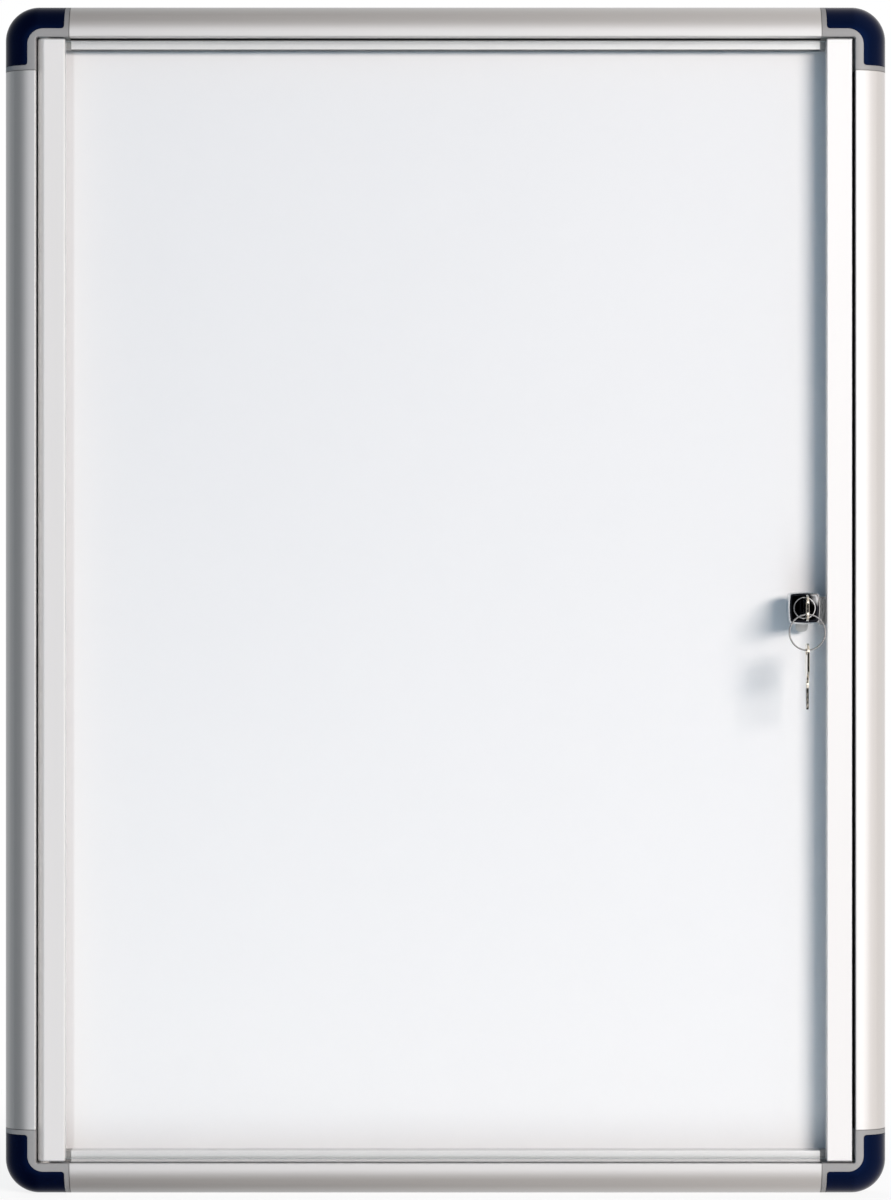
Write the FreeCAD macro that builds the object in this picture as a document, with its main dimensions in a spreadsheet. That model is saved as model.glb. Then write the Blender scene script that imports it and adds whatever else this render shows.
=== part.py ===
# Lockable, glazed display case for a wall: aluminium rails, moulded corners, a white board,
# a clear door hung on the left and a cam lock with its keys.
# Row frame in millimetres: X to the right, Z up, the front faces -Y. The wall is the plane y = 0.
# Each piece is drawn as seen from the front, x right, y up and z forward from the wall,
# and is then stood upright.
import FreeCAD, Part
import math
import os
import re

import Sketcher

dimensions = {
    # Case
    "case_width": 720.0,
    "case_height": 970.0,
    "case_depth": 35.0,
    # Rail section: the front is a crown arc and a shoulder arc, with a small lip on its inner edge
    "rail_face": 26.5,
    "crown_radius": 32.0,
    "shoulder_radius": 18.0,
    "lip_radius": 1.0,
    "rail_wall": 1.5,
    "ledge_level": 20.0,
    "ledge_reach": 8.2,
    # Board, in a groove of the rails and corners
    "board_back": 1.8,
    "backing_thickness": 0.4,
    "core_thickness": 4.3,
    "face_thickness": 0.5,
    "board_inset": 24.0,
    "board_clearance": 0.2,
    "board_edge_clearance": 0.4,
    # Corner bases
    "corner_leg": 53.2,
    "corner_radius": 28.0,
    "corner_inner_least": 1.0,
    "seam": 0.2,
    "plinth": 4.0,
    "spigot_length": 28.0,
    "spigot_top": 14.0,
    "spigot_clearance": 0.2,
    "wall_hole_inset": 15.5,
    "wall_hole_radius": 2.75,
    "wall_boss_radius": 6.5,
    "wall_boss_top": 12.0,
    "wall_boss_gap": 0.4,
    # Corner caps
    "cap_reach": 19.6,
    "cap_setback": 3.7,
    "cap_inner_radius": 13.0,
    "cap_end_radius": 2.5,
    "cap_gap": 0.25,
    "cap_wall": 2.4,
    "cap_hollow": 20.0,
    "cap_step_inset": 8.0,
    "cap_step_hollow": 26.0,
    "peg_radius": 2.0,
    "peg_clearance": 0.1,
    "peg_along": 40.0,
    "peg_across": 11.0,
    "peg_socket_radius": 4.2,
    "peg_socket_top": 13.0,
    "peg_depth": 7.0,
    # Countersunk screws that hold the rails on the spigots
    "frame_screw_radius": 1.6,
    "frame_screw_head_radius": 3.1,
    "frame_screw_length": 11.0,
    "frame_screw_across": 12.0,
    "frame_screw_fit": 0.05,
    "screw_slot_width": 0.9,
    "screw_slot_depth": 0.7,
    # Door
    "door_gap_hinge": 1.0,
    "door_gap_lock": 2.0,
    "door_gap_end": 1.2,
    "stile_rest_gap": 0.4,
    "stile_depth": 11.6,
    "stile_wall": 1.4,
    "stile_edge_radius": 0.7,
    "hinge_stile_width": 22.3,
    "closing_stile_width": 20.8,
    "end_cap_thickness": 1.0,
    "end_cap_plug": 6.0,
    "end_cap_fit": 0.1,
    "glazing_thickness": 3.0,
    "glazing_bite": 10.0,
    "glazing_clearance": 0.2,
    "tape_thickness": 0.3,
    "tape_width": 8.0,
    "tape_inset": 1.0,
    # Hinge
    "pin_radius": 2.0,
    "pin_fit": 0.02,
    "pin_running_clearance": 0.05,
    "pin_hold": 14.0,
    "pin_chamfer": 0.5,
    "bush_radius": 3.5,
    "bush_fit": 0.03,
    "bush_length": 6.0,
    "bush_flange_radius": 4.8,
    "bush_flange": 0.7,
    # Lock, placed by its axis
    "lock_from_right": 68.3,
    "lock_height": -6.5,
    "lock_half": 13.5,
    "lock_side_radius": 80.0,
    "lock_corner_radius": 2.2,
    "lock_edge_radius": 1.2,
    "lock_rim_radius": 8.9,
    "lock_rim_height": 0.6,
    "lock_barrel_radius": 9.0,
    "lock_barrel_end": 16.4,
    "lock_hole_clearance": 0.3,
    "gasket_thickness": 0.4,
    "gasket_radius": 12.2,
    "washer_thickness": 0.8,
    "washer_radius": 12.4,
    "nut_thickness": 3.6,
    "nut_circumradius": 12.7,
    "thread_clearance": 0.05,
    "plug_radius": 6.5,
    "plug_shoulder_radius": 7.6,
    "plug_shoulder_depth": 2.0,
    "plug_clearance": 0.05,
    "plug_face_inset": 0.2,
    "keyway_floor": 0.6,
    "cam_back": 14.2,
    "cam_thickness": 1.6,
    "cam_hub_radius": 8.0,
    "cam_arm_half": 5.0,
    "cam_tip": 19.5,
    "cam_tip_cut": 2.5,
    "tang_half": 3.0,
    "tang_clearance": 0.05,
    "cam_screw_radius": 2.0,
    "cam_screw_length": 3.4,
    "cam_screw_head_radius": 5.0,
    "cam_screw_head": 1.8,
    "wafer_count": 5,
    "wafer_pitch": 3.0,
    "wafer_first": 5.0,
    "wafer_thickness": 1.0,
    "wafer_half_width": 3.6,
    "wafer_half_height": 5.2,
    "wafer_clearance": 0.1,
    # Keys
    "key_thickness": 2.0,
    "key_clearance": 0.2,
    "key_blade_half": 3.2,
    "key_blade_length": 23.2,
    "key_tip_half": 1.2,
    "key_tip_length": 2.4,
    "key_notch_first": 2.16,
    "key_notch_pitch": 3.6,
    "key_notch_depth": 1.1,
    "key_notch_half": 1.3,
    "key_notch_count": 5,
    "key_neck_half": 4.6,
    "key_neck_length": 3.0,
    "key_bow_half": 10.5,
    "key_bow_length": 27.0,
    "key_bow_slope": 4.0,
    "key_bow_radius": 7.0,
    "key_hole_half": 6.5,
    "key_hole_width": 5.0,
    "key_hole_margin": 4.2,
    "spare_key_turn": 0.0,
    # Split ring
    "ring_radius": 14.4,
    "ring_wire": 1.3,
    "ring_width": 1.8,
    "ring_rest_gap": 0.62,
    # Keeper
    "keeper_thickness": 1.2,
    "keeper_half": 11.4,
    "keeper_drop": 2.2,
    "keeper_cam_gap": 0.5,
    "keeper_nut_gap": 0.9,
    "keeper_board_gap": 1.0,
    "keeper_screw_radius": 1.3,
    "keeper_screw_half_pitch": 6.5,
    "keeper_screw_length": 7.0,
    "keeper_screw_head_radius": 2.6,
    "keeper_screw_head": 1.5,
    "keeper_screw_margin": 1.0,
    "keeper_screw_fit": 0.1,
    # How far a cut runs past the surface that it opens
    "overcut": 1.0,
}

doc = FreeCAD.newDocument("DisplayCase")
size = doc.addObject("Spreadsheet::Sheet", "Size")
for row, (alias, number) in enumerate(dimensions.items(), start=1):
    size.set(f"A{row}", alias)
    size.set(f"B{row}", str(number))
    size.setAlias(f"B{row}", alias)
doc.recompute()

ruler = doc.addObject("App::FeaturePython", "Ruler")
pieces = []

# Levels and places that several pieces share, as formulas on the sheet
board_front = "(board_back + backing_thickness + core_thickness + face_thickness)"
groove_low = "(board_back - board_clearance)"
groove_high = f"({board_front} + board_clearance)"
groove_edge = "(board_inset - board_edge_clearance)"
ledge_edge = "(rail_face + ledge_reach)"
arc_step = "(crown_radius - shoulder_radius)"
arc_lean = "(rail_face - lip_radius - shoulder_radius)"
arc_drop = f"sqrt({arc_step}^2 - {arc_lean}^2)"
shoulder_level = f"(case_depth - crown_radius + {arc_drop})"
corner_turn = "max(corner_radius; rail_face + corner_inner_least)"
wall_hole_room = f"({corner_turn} - cap_wall - wall_boss_radius - wall_boss_gap)"
wall_hole_place = f"max(wall_hole_inset; {corner_turn} - {wall_hole_room} / sqrt(2))"
spigot_past_shoulder = f"max(0; spigot_top - {shoulder_level})"
spigot_side = (f"(shoulder_radius - sqrt((shoulder_radius - rail_wall)^2 - {spigot_past_shoulder}^2)"
               " + spigot_clearance)")
rail_overlap = "(corner_leg + seam)"
frame_screw_along = "(corner_leg + spigot_length / 2)"
stile_back = "(ledge_level + stile_rest_gap)"
stile_front = f"({stile_back} + stile_depth)"
hinge_radius = "(stile_depth / 2)"
hinge_level = f"({stile_back} + {hinge_radius})"
hinge_inset = f"(rail_face + door_gap_hinge + {hinge_radius})"
door_height = "(case_height - 2 * rail_face - 2 * door_gap_end)"
stile_length = f"({door_height} - 2 * end_cap_thickness)"
slot_low = f"({stile_back} + stile_wall)"
glazing_back = f"({slot_low} + glazing_clearance)"
glazing_front = f"({glazing_back} + glazing_thickness)"
slot_high = f"({glazing_front} + tape_thickness)"
slot_depth = "(glazing_bite + glazing_clearance)"
hinge_stile_edge = "(rail_face + door_gap_hinge + hinge_stile_width)"
closing_stile_edge = "(rail_face + door_gap_lock + closing_stile_width)"
lock_across = "(case_width / 2 - lock_from_right)"
lock_base = f"({glazing_front} + gasket_thickness)"
screw_hole_end = "(cam_back + cam_screw_length + key_clearance)"
keyway_end = f"({screw_hole_end} + keyway_floor)"
plug_front = f"({keyway_end} + key_clearance + key_blade_length)"
plug_end = "(cam_back + cam_thickness)"
lock_front = f"({plug_front} + plug_face_inset)"
lock_face = f"({lock_front} - lock_rim_height)"
plug_step = f"({plug_front} - plug_shoulder_depth)"
washer_back = f"({glazing_back} - washer_thickness)"
key_seat = f"({plug_front} + key_clearance)"
key_hole_centre = "(key_neck_length + key_bow_length - key_hole_margin - key_hole_width / 2)"
keeper_low = f"({plug_end} + keeper_cam_gap)"
keeper_height = "(lock_height - keeper_drop)"
keeper_end = f"({lock_across} + nut_circumradius + keeper_nut_gap)"
keeper_seat = f"(case_width / 2 - {ledge_edge})"
keeper_bottom = f"({groove_high} + keeper_board_gap)"
keeper_screw_level = f"({keeper_bottom} + keeper_screw_head_radius + keeper_screw_margin)"
ring_drop = "(key_hole_half - ring_wire / 2 - ring_rest_gap)"
ring_centre = f"(lock_height - {ring_drop} - ring_radius)"
ring_forward = f"({key_seat} + {key_hole_centre})"
spare_hang = f"(lock_height - {ring_drop} - 2 * ring_radius)"

upright = FreeCAD.Rotation(FreeCAD.Vector(1, 0, 0), 90)


def formula(text):
    # Names of dimensions in the text become references to the sheet's cells
    def reference(word):
        return f"Size.{word.group()}" if word.group() in dimensions else word.group()
    return re.sub(r"[a-z][a-z_]*", reference, text)


def bind(target, path, text):
    target.setExpression(path, formula(text))


def number_of(text):
    return float(ruler.evalExpression(formula(text)))


def place(piece, x="0", y="0", z="0", turn=upright):
    piece.Placement = FreeCAD.Placement(FreeCAD.Vector(), turn)
    for axis, text in zip("xyz", (x, y, z)):
        bind(piece, f"Placement.Base.{axis}", text)


def quarter_turn(quarter):
    return FreeCAD.Rotation(FreeCAD.Vector(0, 1, 0), 90 * quarter) * upright


def new_body(label):
    body = doc.addObject("PartDesign::Body", label)
    body.Label = label
    return body


def keep(piece, label):
    piece.Label = label
    pieces.append(piece)
    return piece


def sketch_on(body, plane, offset):
    sketch = body.newObject("Sketcher::SketchObject", "Outline")
    support = next(feature for feature in body.Origin.OriginFeatures if feature.Role == plane)
    sketch.AttachmentSupport = [(support, "")]
    sketch.MapMode = "FlatFace"
    bind(sketch, "AttachmentOffset.Base.z", offset)
    return sketch


def arc_between(start, end, radius, side):
    # The shorter arc between two points, its centre to the left (side 1) or right (side -1) of the way
    chord = end - start
    across = FreeCAD.Vector(-chord.y, chord.x, 0).normalize() * side
    centre = (start + end) * 0.5 + across * math.sqrt(max(radius ** 2 - (chord.Length / 2) ** 2, 0.0))
    first, last = (start, end) if side > 0 else (end, start)
    low, high = (math.atan2(point.y - centre.y, point.x - centre.x) for point in (first, last))
    circle = Part.Circle(centre, FreeCAD.Vector(0, 0, 1), radius)
    return Part.ArcOfCircle(circle, low, high if high > low else high + 2 * math.pi)


def draw(sketch, corners, closed=True):
    # A corner is (x, y), or (x, y, radius, side) where the edge that leaves it is an arc
    points = [FreeCAD.Vector(number_of(corner[0]), number_of(corner[1]), 0) for corner in corners]
    edge_count = len(corners) if closed else len(corners) - 1
    edges = []
    rules = []
    texts = []
    for index in range(edge_count):
        corner = corners[index]
        start = points[index]
        end = points[(index + 1) % len(points)]
        if len(corner) == 2:
            edges.append((sketch.addGeometry(Part.LineSegment(start, end)), 1, 2))
            continue
        radius = number_of(corner[2])
        edge = sketch.addGeometry(arc_between(start, end, radius, corner[3]))
        edges.append((edge, 1, 2) if corner[3] > 0 else (edge, 2, 1))
        rules.append(Sketcher.Constraint("Radius", edge, radius))
        texts.append(corner[2])
    joints = edge_count if closed else edge_count - 1
    for index in range(joints):
        edge, _, end = edges[index]
        following, start, _ = edges[(index + 1) % edge_count]
        rules.append(Sketcher.Constraint("Coincident", edge, end, following, start))
        texts.append(None)
    for index, corner in enumerate(corners):
        edge, start, end = edges[min(index, edge_count - 1)]
        where = start if index < edge_count else end
        for axis, text in zip("XY", corner):
            offset = points[index].x if axis == "X" else points[index].y
            rules.append(Sketcher.Constraint("Distance" + axis, -1, 1, edge, where, offset))
            texts.append(text)
    first_rule = sketch.ConstraintCount
    sketch.addConstraint(rules)
    for index, text in enumerate(texts):
        if text is not None:
            bind(sketch, f"Constraints[{first_rule + index}]", text)


def draw_circle(sketch, x, y, radius):
    centre = FreeCAD.Vector(number_of(x), number_of(y), 0)
    edge = sketch.addGeometry(Part.Circle(centre, FreeCAD.Vector(0, 0, 1), number_of(radius)))
    first_rule = sketch.ConstraintCount
    sketch.addConstraint([
        Sketcher.Constraint("Radius", edge, number_of(radius)),
        Sketcher.Constraint("DistanceX", -1, 1, edge, 3, centre.x),
        Sketcher.Constraint("DistanceY", -1, 1, edge, 3, centre.y),
    ])
    for index, text in enumerate((radius, x, y)):
        bind(sketch, f"Constraints[{first_rule + index}]", text)


def rectangle(left, low, right, high):
    return [(left, low), (right, low), (right, high), (left, high)]


def add_feature(body, kind, sketch, length, backwards=False):
    feature = body.newObject("PartDesign::" + kind, kind)
    feature.Profile = sketch
    feature.Reversed = backwards
    bind(feature, "Length", length)
    return feature


def draw_all(sketch, outlines, circles):
    for outline in outlines:
        draw(sketch, outline)
    for circle in circles:
        draw_circle(sketch, *circle)


def slab(body, low, high, outlines=(), circles=()):
    sketch = sketch_on(body, "XY_Plane", low)
    draw_all(sketch, outlines, circles)
    return add_feature(body, "Pad", sketch, f"{high} - {low}")


def well(body, low, high, outlines=(), circles=()):
    sketch = sketch_on(body, "XY_Plane", high)
    draw_all(sketch, outlines, circles)
    return add_feature(body, "Pocket", sketch, f"{high} - {low}")


def extrusion(label, outlines, length, circles=()):
    # A constant section, x in from the outer edge and y forward, run along the piece about its middle
    body = new_body(label)
    sketch = sketch_on(body, "XZ_Plane", f"{length} / 2")
    draw_all(sketch, outlines, circles)
    add_feature(body, "Pad", sketch, length, backwards=True)
    return body


def turned(label, outline, plane="XZ_Plane"):
    # A body of revolution about the sketch's vertical axis: forward for XZ_Plane, up for XY_Plane
    body = new_body(label)
    sketch = sketch_on(body, plane, "0")
    draw(sketch, outline)
    revolution = body.newObject("PartDesign::Revolution", "Revolution")
    revolution.Profile = sketch
    revolution.ReferenceAxis = (sketch, ["V_Axis"])
    revolution.Angle = 360
    return body


def box(x, y, z, length, width, height):
    # A plain block in the row frame, by its low corner
    block = doc.addObject("Part::Box", "Block")
    for path, text in (("Length", length), ("Width", width), ("Height", height)):
        bind(block, path, text)
    place(block, x, y, z, FreeCAD.Rotation())
    return block


def cylinder(x, y, z, radius, height, direction):
    rod = doc.addObject("Part::Cylinder", "Rod")
    bind(rod, "Radius", radius)
    bind(rod, "Height", height)
    place(rod, x, y, z, FreeCAD.Rotation(FreeCAD.Vector(0, 0, 1), direction))
    return rod


def cut(base, tool):
    result = doc.addObject("Part::Cut", "Cut")
    result.Base = base
    result.Tool = tool
    return result


def fuse(base, tool):
    result = doc.addObject("Part::Fuse", "Fuse")
    result.Base = base
    result.Tool = tool
    return result


def group(label, members):
    compound = doc.addObject("Part::Compound", label)
    compound.Links = members
    return keep(compound, label)


# Rails
def crown_start(inset):
    # From the outer wall over the shoulder to the crown, outside (inset 0) or inside the wall
    across = f"shoulder_radius - (shoulder_radius - {inset}) * {arc_lean} / {arc_step}"
    level = f"{shoulder_level} + (shoulder_radius - {inset}) * {arc_drop} / {arc_step}"
    return [
        (inset, shoulder_level, f"shoulder_radius - {inset}", -1),
        (across, level, f"crown_radius - {inset}", -1),
    ]


def crown_outline():
    return crown_start("0") + [
        ("rail_face - lip_radius", "case_depth", "lip_radius", -1),
        ("rail_face", "case_depth - lip_radius"),
    ]


def rail_outlines():
    chamber_rise = "sqrt((crown_radius - rail_wall)^2 - (lip_radius - rail_wall)^2)"
    chamber_top = f"case_depth - crown_radius + {chamber_rise}"
    skin = [("0", "0")] + crown_outline() + [
        ("rail_face", "ledge_level"),
        (ledge_edge, "ledge_level"),
        (ledge_edge, groove_high),
        (groove_edge, groove_high),
        (groove_edge, groove_low),
        ("rail_face", groove_low),
        ("rail_face", "0"),
    ]
    chamber = [("rail_wall", "rail_wall")] + crown_start("rail_wall") + [
        ("rail_face - rail_wall", chamber_top),
        ("rail_face - rail_wall", "ledge_level - rail_wall"),
        (f"{ledge_edge} - rail_wall", "ledge_level - rail_wall"),
        (f"{ledge_edge} - rail_wall", f"{groove_high} + rail_wall"),
        (f"{groove_edge} - rail_wall", f"{groove_high} + rail_wall"),
        (f"{groove_edge} - rail_wall", "rail_wall"),
    ]
    return [skin, chamber]


def screw_seat(body, along):
    # Countersink in the back wall of a rail
    cone = body.newObject("PartDesign::SubtractiveCone", "Countersink")
    bind(cone, "Radius1", "frame_screw_head_radius + frame_screw_fit")
    bind(cone, "Radius2", "frame_screw_radius + frame_screw_fit")
    bind(cone, "Height", "rail_wall")
    bind(cone, "Placement.Base.x", "frame_screw_across")
    bind(cone, "Placement.Base.y", along)


def rail(label, quarter, side_length, x, z):
    body = extrusion(label, rail_outlines(), f"({side_length} - 2 * {rail_overlap})")
    for sign in ("", "-"):
        screw_seat(body, f"{sign}({side_length} / 2 - {frame_screw_along})")
    place(body, x, "0", z, quarter_turn(quarter))
    return keep(body, label)


rail("frame_rail_left", 0, "case_height", "-case_width / 2", "0")
rail("frame_rail_top", 1, "case_width", "0", "case_height / 2")
right_rail = rail("frame_rail_right", 2, "case_height", "case_width / 2", "0")
rail("frame_rail_bottom", 3, "case_width", "0", "-case_height / 2")

# The keeper's two screw holes, through the wall under the right rail's ledge
keeper_holes = sketch_on(right_rail, "YZ_Plane", ledge_edge)
for sign in ("+", "-"):
    draw_circle(keeper_holes, f"-{keeper_height} {sign} keeper_screw_half_pitch", keeper_screw_level,
                "keeper_screw_radius + keeper_screw_fit")
add_feature(right_rail, "Pocket", keeper_holes, "2 * rail_wall")


# Corners: one moulding, turned to fit each corner of the case
corners = (
    ("bottom_left", 0, "-case_width / 2", "-case_height / 2"),
    ("top_left", 1, "-case_width / 2", "case_height / 2"),
    ("top_right", 2, "case_width / 2", "case_height / 2"),
    ("bottom_right", 3, "case_width / 2", "-case_height / 2"),
)


def swept_corner(body, low):
    # The rail's front carried round the corner, solid down to a level
    path = sketch_on(body, "XY_Plane", "0")
    draw(path, [
        ("0", "corner_leg"),
        ("0", corner_turn, corner_turn, 1),
        (corner_turn, "0"),
        ("corner_leg", "0"),
    ], closed=False)
    section = sketch_on(body, "XZ_Plane", "-corner_leg")
    draw(section, [("0", low)] + crown_outline() + [("rail_face", low)])
    pipe = body.newObject("PartDesign::AdditivePipe", "Sweep")
    pipe.Profile = section
    pipe.Spine = (path, ["Edge1", "Edge2", "Edge3"])
    return pipe


def cap_outline(outer, inner):
    # Front outline of the cap, set in by one distance at the case's edge
    # and by another at its inner edge and ends
    end = f"(corner_leg - cap_setback - {inner})"
    reach = f"(cap_reach - {inner})"
    centre = "(cap_reach + cap_inner_radius)"
    return [
        (corner_turn, outer),
        (end, outer),
        (end, f"{reach} - cap_end_radius", "cap_end_radius", 1),
        (f"{end} - cap_end_radius", reach),
        (centre, reach, f"cap_inner_radius + {inner}", -1),
        (reach, centre),
        (reach, f"{end} - cap_end_radius", "cap_end_radius", 1),
        (f"{reach} - cap_end_radius", end),
        (outer, end),
        (outer, corner_turn, f"{corner_turn} - {outer}", 1),
    ]


def both_legs(x, y, *rest):
    return [(x, y, *rest), (y, x, *rest)]


def corner_base(label, quarter, x, z, hinge_leg):
    body = new_body(label)
    swept_corner(body, "0")
    well(body, "plinth", "(case_depth + overcut)", [cap_outline("(-overcut)", "0")])
    ledge_root = "rail_face - overcut"
    slab(body, groove_high, "ledge_level", [[
        (ledge_root, ledge_root),
        ("corner_leg", ledge_root),
        ("corner_leg", ledge_edge),
        (ledge_edge, ledge_edge),
        (ledge_edge, "corner_leg"),
        (ledge_root, "corner_leg"),
    ]])
    past_leg = "corner_leg + overcut"
    well(body, groove_low, groove_high, [rectangle(groove_edge, groove_edge, past_leg, past_leg)])
    floor = "(rail_wall + spigot_clearance)"
    far = f"{groove_edge} - rail_wall - spigot_clearance"
    root = "corner_leg - overcut"
    tip = "corner_leg + spigot_length"
    slab(body, floor, "spigot_top",
         [rectangle(root, spigot_side, tip, far), rectangle(spigot_side, root, far, tip)])
    well(body, "0", "(spigot_top - rail_wall)", circles=both_legs(
        frame_screw_along, "frame_screw_across", "frame_screw_radius + frame_screw_fit"))
    wall_hole = (wall_hole_place, wall_hole_place)
    sunk = "(plinth - overcut)"
    slab(body, sunk, "wall_boss_top", circles=[(*wall_hole, "wall_boss_radius")])
    slab(body, sunk, "peg_socket_top", circles=both_legs("peg_along", "peg_across", "peg_socket_radius"))
    well(body, "0", "(wall_boss_top + overcut)", circles=[(*wall_hole, "wall_hole_radius")])
    well(body, "(peg_depth - overcut)", "(peg_socket_top + overcut)", circles=both_legs(
        "peg_along", "peg_across", "peg_radius + peg_clearance"))
    if hinge_leg == "along_x":
        bore = sketch_on(body, "XZ_Plane", "-rail_face")
    elif hinge_leg == "along_y":
        bore = sketch_on(body, "YZ_Plane", "rail_face")
    if hinge_leg:
        draw_circle(bore, hinge_inset, hinge_level, "bush_radius + bush_fit")
        add_feature(body, "Pocket", bore, "bush_length + bush_fit", backwards=hinge_leg == "along_x")
    place(body, x, "0", z, quarter_turn(quarter))
    return keep(body, label)


def corner_cap(label, quarter, x, z):
    low = "(plinth + cap_gap)"
    body = new_body(label)
    swept_corner(body, low)
    beyond = "(-2 * overcut)"
    past_leg = "(corner_leg + overcut)"
    well(body, "0", "(case_depth + overcut)", [
        rectangle(beyond, beyond, past_leg, past_leg),
        cap_outline("(-overcut)", "cap_gap"),
    ])
    well(body, "0", "cap_hollow", [cap_outline("cap_wall", "(cap_gap + cap_wall)")])
    well(body, "0", "cap_step_hollow", [cap_outline("cap_step_inset", "(cap_gap + cap_wall)")])
    pegs = both_legs("peg_along", "peg_across", "peg_radius")
    slab(body, "peg_depth", "(cap_step_hollow + overcut)", circles=pegs)
    place(body, x, "0", z, quarter_turn(quarter))
    return keep(body, label)


for name, quarter, x, z in corners:
    hinge_leg = {"bottom_left": "along_x", "top_left": "along_y"}.get(name)
    corner_base("corner_base_" + name, quarter, x, z, hinge_leg)
for name, quarter, x, z in corners:
    corner_cap("corner_cap_" + name, quarter, x, z)


def frame_screw(x, z):
    # Countersunk screw driven forward from the back face, with a slot in its head
    cone = doc.addObject("Part::Cone", "Head")
    bind(cone, "Radius1", "frame_screw_head_radius")
    bind(cone, "Radius2", "frame_screw_radius")
    bind(cone, "Height", "rail_wall")
    place(cone, x, "0", z)
    shank = cylinder(x, "0", z, "frame_screw_radius", "frame_screw_length", FreeCAD.Vector(0, -1, 0))
    slot = box(f"{x} - frame_screw_head_radius", "-screw_slot_depth", f"{z} - screw_slot_width / 2",
               "2 * frame_screw_head_radius", "screw_slot_depth + overcut", "screw_slot_width")
    return cut(fuse(cone, shank), slot)


frame_screws = []
for side_x in ("", "-"):
    for side_z in ("", "-"):
        frame_screws.append(frame_screw(f"{side_x}(case_width / 2 - {frame_screw_along})",
                                        f"{side_z}(case_height / 2 - frame_screw_across)"))
        frame_screws.append(frame_screw(f"{side_x}(case_width / 2 - frame_screw_across)",
                                        f"{side_z}(case_height / 2 - {frame_screw_along})"))
group("corner_screws", frame_screws)


# Board
def board_layer(label, back, thickness):
    width = "case_width - 2 * board_inset"
    height = "case_height - 2 * board_inset"
    layer = box(f"-({width}) / 2", f"-({back}) - {thickness}", f"-({height}) / 2", width, thickness, height)
    return keep(layer, label)


board_layer("board_backing_sheet", "board_back", "backing_thickness")
board_layer("board_core", "board_back + backing_thickness", "core_thickness")
board_layer("board_face_sheet", "board_back + backing_thickness + core_thickness", "face_thickness")


# Door stiles
def stile_outline(width, nosed, slotted):
    middle = hinge_level
    edge = "stile_edge_radius"
    if nosed:
        outer_back = [(hinge_radius, stile_back, hinge_radius, -1)]
        outer_front = [("0", middle, hinge_radius, -1), (hinge_radius, stile_front)]
    else:
        outer_back = [(edge, stile_back, edge, -1)]
        outer_front = [("0", f"{stile_back} + {edge}"), ("0", f"{stile_front} - {edge}", edge, -1)]
        outer_front.append((edge, stile_front))
    inner_front = [(f"{width} - {edge}", stile_front, edge, -1), (width, f"{stile_front} - {edge}")]
    slot_floor = f"{width} - {slot_depth}"
    slot = [(width, slot_high), (slot_floor, slot_high), (slot_floor, slot_low), (width, slot_low)]
    return outer_back + outer_front + inner_front + (slot if slotted else []) + [(width, stile_back)]


def stile_chamber(width, nosed, inset):
    near = f"2 * {hinge_radius} - stile_wall" if nosed else "stile_wall"
    return rectangle(f"{near} + {inset}", f"{slot_high} + stile_wall + {inset}",
                     f"{width} - stile_wall - {inset}", f"{stile_front} - stile_wall - {inset}")


def stile(label, width, nosed, x, quarter):
    circles = [(hinge_radius, hinge_level, "pin_radius + pin_fit")] if nosed else []
    body = extrusion(label, [stile_outline(width, nosed, True), stile_chamber(width, nosed, "0")],
                     stile_length, circles)
    place(body, x, turn=quarter_turn(quarter))
    return keep(body, label)


def stile_end_caps(label, width, nosed, x, quarter):
    caps = []
    for upper in (True, False):
        body = new_body(label + ("_upper" if upper else "_lower"))
        level = f"-{stile_length} / 2" if upper else f"{stile_length} / 2"
        plate = sketch_on(body, "XZ_Plane", level)
        draw(plate, stile_outline(width, nosed, False))
        if nosed:
            draw_circle(plate, hinge_radius, hinge_level, "pin_radius + end_cap_fit")
        add_feature(body, "Pad", plate, "end_cap_thickness", backwards=upper)
        plug = sketch_on(body, "XZ_Plane", level)
        draw(plug, stile_chamber(width, nosed, "end_cap_fit"))
        add_feature(body, "Pad", plug, "end_cap_plug", backwards=not upper)
        place(body, x, turn=quarter_turn(quarter))
        caps.append(body)
    return group(label, caps)


hinge_stile_x = "-case_width / 2 + rail_face + door_gap_hinge"
closing_stile_x = "case_width / 2 - rail_face - door_gap_lock"
stile("hinge_stile", "hinge_stile_width", True, hinge_stile_x, 0)
stile("closing_stile", "closing_stile_width", False, closing_stile_x, 2)
stile_end_caps("hinge_stile_end_caps", "hinge_stile_width", True, hinge_stile_x, 0)
stile_end_caps("closing_stile_end_caps", "closing_stile_width", False, closing_stile_x, 2)

# Pane, with the lock's hole, and the tapes that bond it into the stiles
glazing = new_body("door_glazing")
glazing_left = f"-case_width / 2 + {hinge_stile_edge} - glazing_bite"
glazing_right = f"case_width / 2 - {closing_stile_edge} + glazing_bite"
glazing_half_height = f"({stile_length} / 2 - glazing_clearance)"
slab(glazing, glazing_back, glazing_front,
     [rectangle(glazing_left, f"-{glazing_half_height}", glazing_right, glazing_half_height)],
     [(lock_across, "lock_height", "lock_barrel_radius + lock_hole_clearance")])
place(glazing)
keep(glazing, "door_glazing")
for label, left in (
    ("hinge_glazing_tape", f"-case_width / 2 + {hinge_stile_edge} - tape_width - tape_inset"),
    ("closing_glazing_tape", f"case_width / 2 - {closing_stile_edge} + tape_inset"),
):
    keep(box(left, f"-{slot_high}", f"-{glazing_half_height}", "tape_width", "tape_thickness",
             f"2 * {glazing_half_height}"), label)

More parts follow.
